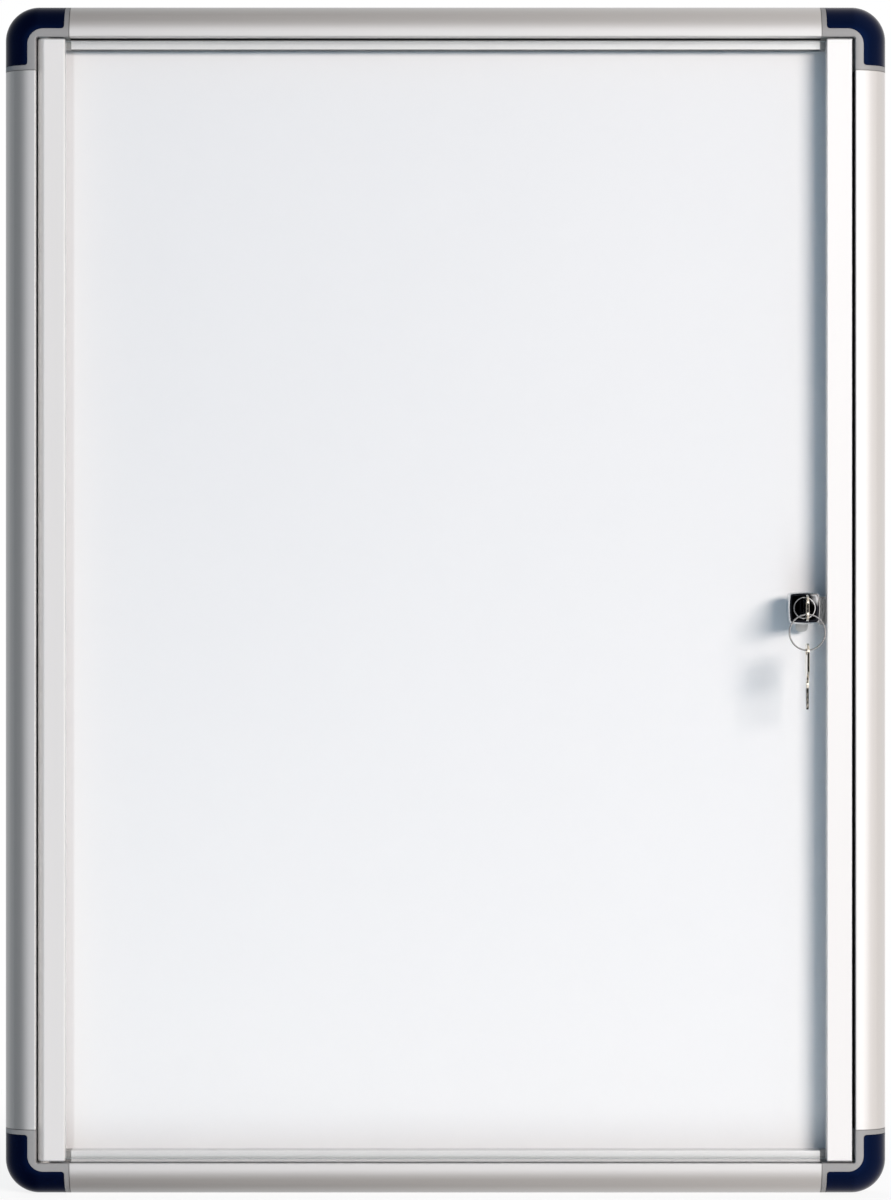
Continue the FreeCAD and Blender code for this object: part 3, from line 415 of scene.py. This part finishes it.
# Mouldings
cornerLook = {
    "tones": ((0.29, 0.288, 0.288), (0.345, 0.342, 0.34)),
    "roughness": 0.40,
    "metallic": 0.35,
    "shine": 0.5,
    "shineTint": (1.0, 1.0, 1.0),
}
capLook = {
    "tones": ((0.0005, 0.0012, 0.007), (0.0009, 0.0024, 0.013)),
    "roughness": 0.22,
    "metallic": 0.0,
    "shine": 0.30,
    "shineTint": (0.08, 0.25, 1.0),  # blue in the gloss too, so the flats go nearly black
}
endCapLook = {
    "tones": ((0.50, 0.505, 0.51), (0.56, 0.565, 0.57)),
    "roughness": 0.5,
    "metallic": 0.1,
    "shine": 0.5,
    "shineTint": (1.0, 1.0, 1.0),
}
bushLook = {
    "tones": ((0.66, 0.65, 0.61), (0.74, 0.73, 0.70)),
    "roughness": 0.45,
    "metallic": 0.0,
    "shine": 0.4,
    "shineTint": (1.0, 1.0, 1.0),
}
mouldMarks = {
    "grain": 3800.0,
    "drift": 22.0,
    "toneShares": (0.6, 0.4),  # drift, grain
    "glossBase": -0.05,
    "glossShare": 0.06,
    "bump": (0.10, 0.00006),
}


def mouldedPlastic(name, look):
    # Injection moulding: fine spark-eroded grain, with a slow drift in tone and gloss
    material, wire = newFinish(name)
    place = wire.place()
    grain = wire.noise(place, mouldMarks["grain"], 2.0, 0.6)
    drift = wire.noise(place, mouldMarks["drift"])
    driftShare, grainShare = mouldMarks["toneShares"]
    gloss = mouldMarks["glossShare"]
    low, high = look["tones"]
    closeFinish(wire, {
        "Base Color": wire.blend(driftShare * drift + grainShare * grain, rgba(low), rgba(high)),
        "Metallic": look["metallic"],
        "Specular IOR Level": look["shine"],
        "Specular Tint": rgba(look["shineTint"]),
        "Roughness": look["roughness"] + mouldMarks["glossBase"] + gloss * grain + gloss * drift,
        "Normal": wire.bump(grain, *mouldMarks["bump"]),
    })
    return material


boardLook = {
    "tones": ((0.855, 0.857, 0.865), (0.880, 0.880, 0.885)),
    "roughness": 0.30,
    "peel": 420.0,
    "peelGloss": 0.06,
    "drift": 2.6,
    "bump": (0.05, 0.0001),
    "coat": (0.15, 0.1),  # all over, and with the drift
    "stileShadowTone": (0.76, 0.75, 0.755),
    "stileShadowFrom": (-0.3200, -0.3140),  # across: a painted shadow of the hinge stile lies beside it on the board
    "stileShadowTo": (-0.3035, -0.3068),
}


def boardLacquer(name, look):
    # Smooth white lacquer on sheet steel, with the slight orange peel of a coil coat, and a painted shadow
    # beside the hinge stile
    material, wire = newFinish(name)
    place = wire.place()
    peel = wire.noise(place, look["peel"], 2.0, 0.4)
    drift = wire.noise(place, look["drift"])
    across = wire.axes(place)[0]
    # painted shadow of the hinge stile on the board
    stileShadow = wire.ramp(across, *look["stileShadowFrom"]) * wire.ramp(across, *look["stileShadowTo"])
    low, high = look["tones"]
    tone = wire.blend(drift, rgba(low), rgba(high))
    coat, coatDrift = look["coat"]
    closeFinish(wire, {
        "Base Color": wire.blend(stileShadow, tone, rgba(look["stileShadowTone"])),
        "Roughness": look["roughness"] + look["peelGloss"] * peel,
        "Normal": wire.bump(peel, *look["bump"]),
        "Coat Weight": coat + coatDrift * drift,
    })
    return material


coreLook = {
    "tones": ((0.30, 0.20, 0.11), (0.52, 0.38, 0.24)),
    "roughness": 0.85,
    "flecks": (700, 2400, 700),
    "fleckGloss": 0.1,
    "bump": (0.4, 0.0002),
}


def pressedFibre(name, look):
    material, wire = newFinish(name)
    flecks = wire.streaks(wire.place(), look["flecks"], 4.0, 0.65)
    low, high = look["tones"]
    closeFinish(wire, {
        "Base Color": wire.blend(flecks, rgba(low), rgba(high)),
        "Roughness": look["roughness"] + look["fleckGloss"] * flecks,
        "Normal": wire.bump(flecks, *look["bump"]),
    })
    return material


backingLook = {
    "tones": ((0.40, 0.41, 0.42), (0.60, 0.61, 0.62)),
    "roughness": 0.38,
    "metallic": 0.9,
    "spangle": 95.0,
    "warp": 60.0,
    "warpShare": 0.02,
    "grain": 1500.0,
    "toneShares": (0.75, 0.25),  # crystals, grain
    "glossShares": (0.16, 0.08),
    "bump": (0.08, 0.0001),
}


def galvanisedSheet(name, look):
    # Zinc spangle: flat crystals, each with its own tone and gloss
    material, wire = newFinish(name)
    place = wire.place()
    swirl = wire.add("ShaderNodeTexNoise", {}, {"Vector": place, "Scale": look["warp"]}, output="Color")
    warped = wire.add("ShaderNodeMix", {"data_type": "VECTOR"}, {
        0: look["warpShare"], 4: place, 5: swirl}, output=1)
    crystal = wire.add("ShaderNodeTexVoronoi", {}, {
        "Vector": warped, "Scale": look["spangle"]}, output="Color")
    flat = wire.add("ShaderNodeSeparateColor", {}, {"Color": crystal})
    grain = wire.noise(place, look["grain"], 3.0)
    low, high = look["tones"]
    flatTone, grainTone = look["toneShares"]
    flatGloss, grainGloss = look["glossShares"]
    closeFinish(wire, {
        "Base Color": wire.blend(flatTone * flat + grainTone * grain, rgba(low), rgba(high)),
        "Metallic": look["metallic"],
        "Roughness": look["roughness"] + flatGloss * flat + grainGloss * grain,
        "Normal": wire.bump(grain, *look["bump"]),
    })
    return material


# Plated and ground metal
chromeLook = {
    "tones": ((0.60, 0.61, 0.63), (0.68, 0.69, 0.70)),
    "roughness": 0.06,
    "scratches": 0.04,
    # the front is painted nearly black, a painted dark reflection, but for its rim and a patch left bright as
    # a painted highlight
    "face": {
        "front": (-0.0404, -0.0408),
        "tone": (0.012, 0.013, 0.017),
        "axis": (0.2917, 0, -0.0065),
        "rim": (0.0082, 0.0091),  # from the axis
        "rimEdge": 0.0001,
        "paintedGlint": (0.3005, 0, 0.0008),
        "patchReach": (0.0066, 0.0008),
        "patchRagged": 0.005,
        "patchShare": 0.7,
        "patchDull": 0.22,
    },
}
nickelLook = {
    "tones": ((0.70, 0.66, 0.57), (0.82, 0.78, 0.70)),
    "roughness": 0.07,
    "scratches": 0.07,
    # patches painted nearly black on the blade of the spare key, a painted dark reflection
    "paintedBladeDark": {"below": (-0.0695, -0.0725), "tone": (0.035, 0.035, 0.038), "patches": (0.68, 0.56)},
}
ringLook = {"tones": ((0.32, 0.32, 0.33), (0.44, 0.44, 0.44)), "roughness": 0.12, "scratches": 0.08}
zincLook = {"tones": ((0.52, 0.53, 0.54), (0.64, 0.65, 0.65)), "roughness": 0.27, "scratches": 0.12}
keeperLook = {"tones": ((0.36, 0.37, 0.38), (0.46, 0.47, 0.48)), "roughness": 0.22, "scratches": 0.12}
pinLook = {"tones": ((0.56, 0.56, 0.56), (0.64, 0.64, 0.64)), "roughness": 0.2, "scratches": 0.1}
brassLook = {"tones": ((0.60, 0.42, 0.14), (0.74, 0.56, 0.24)), "roughness": 0.25, "scratches": 0.12}
handlingMarks = {
    "haze": 260.0,
    "hazeGloss": 0.5,
    "hairlines": (700, 5200, 2600),
    "hairlineSpan": (0.60, 0.72),
    "bumpDepth": 0.00003,
}


def paintedFaceReflection(wire, face, place, haze):
    # How dark the painted reflection on the lock's front is, and how dull its painted highlight patch
    depth = wire.axes(place)[1]
    level = wire.scaled(place, (1, 0, 1))
    out = wire.measure("DISTANCE", level, face["axis"])
    off = wire.measure("DISTANCE", level, face["paintedGlint"])
    inner, outer = face["rim"]
    edge = face["rimEdge"]
    rim = wire.ramp(out, inner - edge, inner) * wire.ramp(out, outer + edge, outer)
    ragged = off + face["patchRagged"] * (haze - 0.5)
    paintedGlint = face["patchShare"] * wire.ramp(ragged, *face["patchReach"])
    front = wire.ramp(depth, *face["front"])
    return front * (1 - wire.maths("MAXIMUM", rim, paintedGlint)), face["patchDull"] * front * paintedGlint


def platedMetal(name, look):
    # Plated or ground metal: handling haze, and hairline scratches that catch the light
    material, wire = newFinish(name)
    place = wire.place()
    haze = wire.noise(place, handlingMarks["haze"], 3.0, 0.6)
    scratch = wire.ramp(
        wire.streaks(place, handlingMarks["hairlines"], 2.0, 0.7), *handlingMarks["hairlineSpan"])
    low, high = look["tones"]
    tone = wire.blend(haze, rgba(low), rgba(high))
    gloss = look["roughness"] + look["scratches"] * (handlingMarks["hazeGloss"] * haze + scratch)
    if "face" in look:
        # painted reflection on the lock's front: dark, with a bright patch
        dark, dull = paintedFaceReflection(wire, look["face"], place, haze)
        tone = wire.blend(dark, tone, rgba(look["face"]["tone"]))
        gloss = gloss + dull
    if "paintedBladeDark" in look:
        paintedBladeDark = look["paintedBladeDark"]
        # painted dark reflection on the spare key's blade
        onBlade = wire.ramp(wire.axes(place)[2], *paintedBladeDark["below"])
        tone = wire.blend(wire.ramp(haze, *paintedBladeDark["patches"]) * onBlade, tone, rgba(paintedBladeDark["tone"]))
    closeFinish(wire, {
        "Base Color": tone,
        "Metallic": 1.0,
        "Roughness": gloss,
        "Normal": wire.bump(scratch, look["scratches"], handlingMarks["bumpDepth"]),
    })
    return material


gasketLook = {"tones": ((0.012, 0.012, 0.013), (0.022, 0.022, 0.023))}
tapeLook = {"tones": ((0.70, 0.70, 0.70), (0.80, 0.80, 0.79))}
softMarks = {"pores": 2200.0, "roughness": 0.6, "poreGloss": 0.25, "bump": (0.2, 0.0001)}


def softTrim(name, look):
    material, wire = newFinish(name)
    pores = wire.noise(wire.place(), softMarks["pores"], 3.0, 0.6)
    low, high = look["tones"]
    closeFinish(wire, {
        "Base Color": wire.blend(pores, rgba(low), rgba(high)),
        "Roughness": softMarks["roughness"] + softMarks["poreGloss"] * pores,
        "Normal": wire.bump(pores, *softMarks["bump"]),
    })
    return material


paneLook = {
    "tint": (0.990, 0.995, 0.995),
    "shine": 0.022,  # mirrored when seen square on
    "shineFall": 5.0,  # power by which that grows towards a glancing view
    "roughness": 0.015,
    "wipe": (14, 14, 5),
    "wipeGloss": 0.03,
    "edgeFacing": (0.5, 0.9),  # how far an edge faces up or down
    "edgeTint": (0.52, 0.63, 0.65),
    "edgeCover": 0.75,
    "edgeRoughness": 0.25,
    "saw": (2600, 300, 300),
    "sawGloss": 0.2,
}


def clearAcrylic(name, look):
    # Clear through its faces with a faint shine; the sawn edges at its top and foot are frosted and show pale
    material, wire = newFinish(name)
    place = wire.place()
    facing = wire.axes(wire.add("ShaderNodeNewGeometry", output="Normal"))[2]
    edge = wire.ramp(wire.maths("ABSOLUTE", facing), *look["edgeFacing"])
    saw = wire.streaks(place, look["saw"])
    wipe = wire.streaks(place, look["wipe"], 3.0, 0.6)
    slant = wire.add("ShaderNodeLayerWeight", {}, {"Blend": 0.5}, output="Facing")
    shine = look["shine"] + (1 - look["shine"]) * wire.maths("POWER", slant, look["shineFall"])
    frost = edge * (look["edgeRoughness"] + look["sawGloss"] * saw)
    clear = wire.add("ShaderNodeBsdfTransparent", {}, {"Color": rgba(look["tint"])})
    gloss = wire.add("ShaderNodeBsdfPrincipled", {}, {
        "Base Color": wire.blend(edge, plainWhite, rgba(look["edgeTint"])),
        "Metallic": 1 - edge,
        "Roughness": look["roughness"] + look["wipeGloss"] * wipe + frost,
    })
    cover = shine + edge * (look["edgeCover"] - shine)
    wire.add("ShaderNodeOutputMaterial", {}, {"Surface": wire.mixShader(cover, clear, gloss)})
    return material


railUpright = drawnAluminium("railAluminiumUpright", railLook, "Z")
railLevel = drawnAluminium("railAluminiumLevel", railLook, "X")
stileFinish = drawnAluminium("stileAluminium", stileLook, "Z")
cornerFinish = mouldedPlastic("cornerGreyPlastic", cornerLook)
capFinish = mouldedPlastic("capBluePlastic", capLook)
endCapFinish = mouldedPlastic("endCapPlastic", endCapLook)
bushFinish = mouldedPlastic("bushNylon", bushLook)
chromeFinish = platedMetal("lockChrome", chromeLook)
zincFinish = platedMetal("zincPlate", zincLook)
gasketFinish = softTrim("gasketRubber", gasketLook)
tapeFinish = softTrim("bondingTape", tapeLook)
pinFinish = platedMetal("groundSteel", pinLook)
nickelFinish = platedMetal("keyNickel", nickelLook)
ringFinish = platedMetal("ringSteel", ringLook)
print("finishes mixed")

# Shaping by hand: picking in edit mode, then Blender's own tools
handwork = {
    "touch": 0.00001,  # metres within which a corner counts as lying on a line
    "mergeWithin": 0.000002,
    "smoothAngle": 34,  # degrees
    "flatWeight": 80,  # keeps flats flat beside rounded edges
}
touch = handwork["touch"]


def beginPiece(name):
    piece = bpy.context.object
    piece.name = name
    piece.data.name = name
    bpy.ops.object.transform_apply(location=True, rotation=True, scale=True)
    bpy.ops.object.mode_set(mode="EDIT")
    bpy.ops.mesh.select_all(action="SELECT")
    return piece


def centreOf(item):
    corners = getattr(item, "verts", [item])
    return sum((corner.co for corner in corners), Vector()) / len(corners)


def pick(kind, test):
    # Selects only what passes the test, which is given the item's centre and the item
    bpy.ops.mesh.select_mode(type=kind)
    bpy.ops.mesh.select_all(action="DESELECT")
    mesh = bmesh.from_edit_mesh(bpy.context.object.data)
    for item in {"VERT": mesh.verts, "EDGE": mesh.edges, "FACE": mesh.faces}[kind]:
        if test(centreOf(item), item):
            item.select_set(True)
    bmesh.update_edit_mesh(bpy.context.object.data)


def picked():
    mesh = bmesh.from_edit_mesh(bpy.context.object.data)
    return [corner.co.copy() for corner in mesh.verts if corner.select]


def pull(offset):
    bpy.ops.mesh.extrude_region_move(TRANSFORM_OT_translate={"value": offset})


def tidyNormals():
    bpy.ops.mesh.select_all(action="SELECT")
    bpy.ops.mesh.remove_doubles(threshold=handwork["mergeWithin"])
    bpy.ops.mesh.normals_make_consistent(inside=False)


def applyModifier(kind, settings):
    bpy.ops.object.modifier_add(type=kind)
    modifier = bpy.context.object.modifiers[-1]
    for name, value in settings.items():
        setattr(modifier, name, value)
    bpy.ops.object.modifier_apply(modifier=modifier.name)


def roundEdges(width, angle):
    applyModifier("BEVEL", {
        "width": width, "segments": 2, "limit_method": "ANGLE", "angle_limit": math.radians(angle)})


def selectOnly(item):
    bpy.ops.object.select_all(action="DESELECT")
    bpy.context.view_layer.objects.active = item
    item.select_set(True)


def endPiece(piece, body, node, finish):
    bpy.ops.object.shade_smooth_by_angle(angle=math.radians(handwork["smoothAngle"]))
    applyModifier("WEIGHTED_NORMAL", {"weight": handwork["flatWeight"], "keep_sharp": True})
    piece.data.materials.append(finish)
    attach(piece, body)
    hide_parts(node)
    bpy.ops.object.select_all(action="DESELECT")
    print(piece.name, "stands for", node, "with", len(piece.data.polygons), "faces")


# Lock head: a square with bowed sides and a rounded front edge, a rim round the cylinder, and a barrel that
# goes through the pane
lockHead = {
    "axis": (0.2917, -0.0065),  # across and up
    "size": 0.0270,
    "cornerRound": 0.0022,
    "cornerSegments": 5,
    "sideCuts": 15,
    "sideBow": 0.20,
    # forward of the wall, half width, and how far the loop turns from square to round
    "loops": (
        (0.0254, 0.01350, 0.0),
        (0.0262, 0.01350, 0.0),
        (0.0370, 0.01312, 0.0),
        (0.0385, 0.01290, 0.0),
        (0.0395, 0.01258, 0.0),
        (0.0403, 0.01222, 0.0),
        (0.0408, 0.01190, 0.0),
        (0.0411, 0.01162, 0.01),
        (0.04130, 0.01130, 0.03),
        (0.04141, 0.01085, 0.08),
        (0.04145, 0.01050, 0.15),
        (0.04148, 0.01010, 0.5),
        (0.0415, 0.00940, 1.0),
        (0.0415, 0.00905, 0.0),
        (0.0417, 0.00890, 0.0),
        (0.0419, 0.00880, 0.0),
        (0.0420, 0.00858, 0.0),
        (0.0420, 0.00800, 0.0),
        (0.0419, 0.00778, 0.0),
        (0.0416, 0.00765, 0.0),
        (0.03975, 0.00765, 0.0),
        (0.03975, 0.00655, 0.0),
        (0.0164, 0.00655, 0.0),
        (0.0164, 0.00900, 0.0),
        (0.0254, 0.00900, 0.0),
    ),
}


def fitLoop(across, up, depth, half):
    reach = max(abs(corner.x - across) for corner in picked())
    bpy.ops.transform.resize(value=(half / reach, 1, half / reach), center_override=(across, -depth, up))


def modelLockHead(shape):
    across, up = shape["axis"]
    base, baseHalf = shape["loops"][0][:2]
    bpy.ops.mesh.primitive_plane_add(
        size=shape["size"], location=(across, -base, up), rotation=(math.pi / 2, 0, 0))
    piece = beginPiece("lockHead")
    bpy.ops.mesh.bevel(offset=shape["cornerRound"], segments=shape["cornerSegments"], affect="VERTICES")
    bpy.ops.mesh.select_all(action="SELECT")
    bpy.ops.mesh.delete(type="ONLY_FACE")
    pick("EDGE", lambda spot, edge: edge.calc_length() > shape["size"] / 2)
    bpy.ops.mesh.subdivide(number_cuts=shape["sideCuts"])
    bpy.ops.mesh.select_mode(type="EDGE")
    bpy.ops.mesh.select_all(action="SELECT")
    bpy.ops.transform.tosphere(value=shape["sideBow"])
    fitLoop(across, up, base, baseHalf)
    for depth, half, roundness in shape["loops"][1:]:
        pull((0, -depth - picked()[0].y, 0))
        if roundness > 0:
            bpy.ops.transform.tosphere(value=roundness)
        fitLoop(across, up, depth, half)
    pick("EDGE", lambda spot, edge: edge.is_boundary)
    bpy.ops.mesh.bridge_edge_loops()
    tidyNormals()
    bpy.ops.object.mode_set(mode="OBJECT")
    return piece


# Keys: a notched blade with a milled groove, and a stamped bow with a raised rim and a slot for the ring
keyShape = {
    "thickness": 0.0020,
    "bladeHalf": 0.0032,
    "bladeLength": 0.0232,
    "tipHalf": 0.0012,
    "tipLength": 0.0024,
    "notchFirst": 0.00216,
    "notchPitch": 0.0036,
    "notchHalf": 0.0013,
    "notchCount": 5,
    "notchDepths": (0.0011, 0.00055),  # they take turns on the two edges
    "grooveHalf": 0.0008,
    "grooveDepth": 0.0005,
    "grooveEdge": 0.0002,
    "grooveEnd": 0.0006,  # short of the shoulder
    "shoulderSlope": 0.0003,
    "neckHalf": 0.0046,
    "neckLength": 0.0030,
    "bowHalf": 0.0105,
    "bowLength": 0.0270,
    "bowSlope": 0.0040,
    "bowRound": 0.0070,
    "bowSegments": 9,
    "bowSpare": 0.0002,  # straight side left under the rounded corners
    "rimWidth": 0.0017,
    "rimHeight": 0.00028,
    "rimStart": 0.0005,  # above the neck
    "slotHalf": 0.0065,
    "slotWidth": 0.0050,
    "slotCentre": 0.0233,  # above the shoulder
    "slotCorners": 40,
    "edgeRound": 0.0002,
    "edgeAngle": 38,
}


def modelKey(shape):
    # Lies in the plane of Y and Z: blade down, bow up, shoulder at the origin
    half = shape["bladeHalf"]
    length = shape["bladeLength"]
    tipLevel = shape["tipLength"] - length
    bpy.ops.mesh.primitive_plane_add(
        size=1, location=(-shape["thickness"] / 2, 0, -0.5), rotation=(0, math.pi / 2, 0))
    piece = beginPiece("keyBlank")
    bpy.ops.transform.resize(value=(1, 2 * half, length), center_override=(0, 0, 0))
    cutNotches(shape, tipLevel)
    pick("EDGE", lambda spot, item: spot.z > -touch)
    neck = shape["neckLength"]
    top = neck + shape["bowLength"]
    steps = (
        (shape["shoulderSlope"], shape["neckHalf"] / half),
        (neck, 1),
        (neck + shape["bowSlope"], shape["bowHalf"] / shape["neckHalf"]),
        (top - shape["bowRound"] - shape["bowSpare"], 1),
        (top, 1),
    )
    for level, widen in steps:
        pull((0, 0, level - picked()[0].z))
        bpy.ops.transform.resize(value=(1, widen, 1), center_override=(0, 0, level))
    pick("VERT", lambda spot, item: spot.z > top - touch and abs(spot.y) > shape["bowHalf"] - touch)
    bpy.ops.mesh.bevel(offset=shape["bowRound"], segments=shape["bowSegments"], affect="VERTICES")
    bpy.ops.mesh.select_all(action="SELECT")
    pull((shape["thickness"], 0, 0))
    tidyNormals()
    pick("FACE", lambda spot, face: abs(face.normal.x) > 0.9 and spot.z > neck + shape["rimStart"])
    bpy.ops.mesh.inset(thickness=shape["rimWidth"], depth=-shape["rimHeight"])
    pick("FACE", lambda spot, face: abs(face.normal.x) > 0.9 and abs(spot.y) < shape["grooveHalf"] / 2
         and tipLevel < spot.z < -shape["grooveEnd"])
    bpy.ops.mesh.inset(thickness=shape["grooveEdge"], depth=-shape["grooveDepth"])
    bpy.ops.object.mode_set(mode="OBJECT")
    cutSlot(piece, shape)
    roundEdges(shape["edgeRound"], shape["edgeAngle"])
    return piece


def cutNotches(shape, tipLevel):
    half = shape["bladeHalf"]
    groove = shape["grooveHalf"]
    first = tipLevel + shape["notchFirst"]
    notches = [first + index * shape["notchPitch"] for index in range(shape["notchCount"])]
    levels = [tipLevel, -shape["grooveEnd"]]
    for middle in notches:
        levels += [middle - shape["notchHalf"], middle, middle + shape["notchHalf"]]
    cuts = [((0, 0, level), (0, 0, 1)) for level in levels]
    cuts += [((0, side * groove, 0), (0, 1, 0)) for side in (-1, 1)]
    for spot, way in cuts:
        bpy.ops.mesh.select_all(action="SELECT")
        bpy.ops.mesh.bisect(plane_co=spot, plane_no=way)
    tip = -shape["bladeLength"]
    pick("VERT", lambda spot, item: spot.z < tip + touch and abs(spot.y) > (groove + half) / 2)
    bpy.ops.transform.resize(value=(1, shape["tipHalf"] / half, 1), center_override=(0, 0, tip))
    depths = shape["notchDepths"]
    for middle in notches:
        for side, depth in zip((1, -1), depths):
            pick("VERT", lambda spot, item: abs(spot.z - middle) < touch and side * spot.y > half - touch)
            bpy.ops.transform.translate(value=(0, -side * depth, 0))
        depths = depths[::-1]


def cutSlot(piece, shape):
    bpy.ops.object.select_all(action="DESELECT")
    endRadius = shape["slotWidth"] / 2
    bpy.ops.mesh.primitive_cylinder_add(
        vertices=shape["slotCorners"], radius=endRadius, depth=4 * shape["thickness"],
        location=(0, 0, shape["slotCentre"]), rotation=(0, math.pi / 2, 0))
    cutter = beginPiece("slotCutter")
    for side in (1, -1):
        pick("VERT", lambda spot, item: side * spot.y > touch)
        bpy.ops.transform.translate(value=(0, side * (shape["slotHalf"] - endRadius), 0))
    bpy.ops.object.mode_set(mode="OBJECT")
    selectOnly(piece)
    applyModifier("BOOLEAN", {"operation": "DIFFERENCE", "solver": "EXACT", "object": cutter})
    bpy.data.objects.remove(cutter)


keyPlaces = {
    "doorKey": {"spot": (0.2917, -0.0420, -0.0065), "turn": (90, 0, 0), "body": "door_key"},
    "spareKey": {"spot": (0.2917, -0.0653, -0.06506), "turn": (0, 0, 0), "body": "spare_key"},
}


def placeKey(blank, name, place):
    key = blank.copy()
    key.data = blank.data.copy()
    bpy.context.collection.objects.link(key)
    key.name = name
    key.data.name = name
    key.location = place["spot"]
    key.rotation_euler = [math.radians(angle) for angle in place["turn"]]
    selectOnly(key)
    bpy.ops.object.transform_apply(location=True, rotation=True)
    return key


# Split ring: two turns of oval wire, with a step where one goes over into the other
ringShape = {
    "centre": (0.2917, -0.0653, -0.02613),
    "radius": 0.0144,
    "wireOut": 0.00062,
    "wireAlong": 0.00043,
    "wireCorners": 14,
    "turnGap": 0.00001,  # half the gap between the turns
    "stepAt": 205,  # degrees from the right, over the top
    "stepTurn": 26,
    "stepShares": (0.06, 0.16, 0.28, 0.28, 0.16, 0.06),
    "sections": 84,
    "endRound": 0.00012,
    "endAngle": 60,
}


def modelRing(shape):
    centre = Vector(shape["centre"])
    along = shape["wireAlong"] + shape["turnGap"]
    start = centre + Vector((shape["radius"], -along, 0))
    bpy.ops.mesh.primitive_circle_add(
        vertices=shape["wireCorners"], radius=shape["wireOut"], location=start)
    piece = beginPiece("splitRing")
    bpy.ops.transform.resize(value=(1, shape["wireAlong"] / shape["wireOut"], 1), center_override=start)
    bpy.ops.transform.rotate(value=math.radians(shape["stepAt"]), orient_axis="Y", center_override=centre)
    oneTurn = {
        "steps": shape["sections"],
        "angle": math.radians(360 - shape["stepTurn"]),
        "center": centre,
        "axis": (0, 1, 0),
    }
    stepAngle = math.radians(shape["stepTurn"] / len(shape["stepShares"]))
    bpy.ops.mesh.spin(**oneTurn)
    for share in shape["stepShares"]:
        pull((0, 2 * along * share, 0))
        bpy.ops.transform.rotate(value=stepAngle, orient_axis="Y", center_override=centre)
    bpy.ops.mesh.spin(**oneTurn)
    bpy.ops.mesh.select_all(action="SELECT")
    bpy.ops.mesh.fill_holes(sides=shape["wireCorners"])
    tidyNormals()
    bpy.ops.object.mode_set(mode="OBJECT")
    roundEdges(shape["endRound"], shape["endAngle"])
    return piece


endPiece(modelLockHead(lockHead), "door", "lock_housing", chromeFinish)
keyBlank = modelKey(keyShape)
for name, place in keyPlaces.items():
    endPiece(placeKey(keyBlank, name, place), place["body"], place["body"], nickelFinish)
bpy.data.objects.remove(keyBlank)
endPiece(modelRing(ringShape), "key_ring", "key_ring", ringFinish)

finishOfNode = {
    "frame_rail_left": railUpright,
    "frame_rail_right": railUpright,
    "frame_rail_top": railLevel,
    "frame_rail_bottom": railLevel,
    "board_face_sheet": boardLacquer("boardLacquer", boardLook),
    "board_core": pressedFibre("pressedFibre", coreLook),
    "board_backing_sheet": galvanisedSheet("galvanisedSheet", backingLook),
    "hinge_stile": stileFinish,
    "closing_stile": stileFinish,
    "hinge_stile_end_caps": endCapFinish,
    "closing_stile_end_caps": endCapFinish,
    "door_glazing": clearAcrylic("clearAcrylic", paneLook),
    "hinge_glazing_tape": tapeFinish,
    "closing_glazing_tape": tapeFinish,
    "corner_screws": zincFinish,
    "keeper_screws": zincFinish,
    "lock_keeper": platedMetal("keeperSteel", keeperLook),
    "hinge_pin_top": pinFinish,
    "hinge_pin_bottom": pinFinish,
    "hinge_bush_top": bushFinish,
    "hinge_bush_bottom": bushFinish,
    "lock_housing": chromeFinish,
    "lock_plug": chromeFinish,
    "lock_gasket": gasketFinish,
    "lock_washer": zincFinish,
    "lock_nut": zincFinish,
    "lock_wafers": platedMetal("waferBrass", brassLook),
    "lock_cam": zincFinish,
    "cam_screw": zincFinish,
    "door_key": nickelFinish,
    "spare_key": nickelFinish,
    "key_ring": ringFinish,
}
for place in ("bottom_left", "top_left", "top_right", "bottom_right"):
    finishOfNode["corner_base_" + place] = cornerFinish
    finishOfNode["corner_cap_" + place] = capFinish
for name, node in nodes.items():
    for slot in node.material_slots:
        slot.material = finishOfNode[name]
print("finishes on", len(finishOfNode), "nodes")

print("scene built")
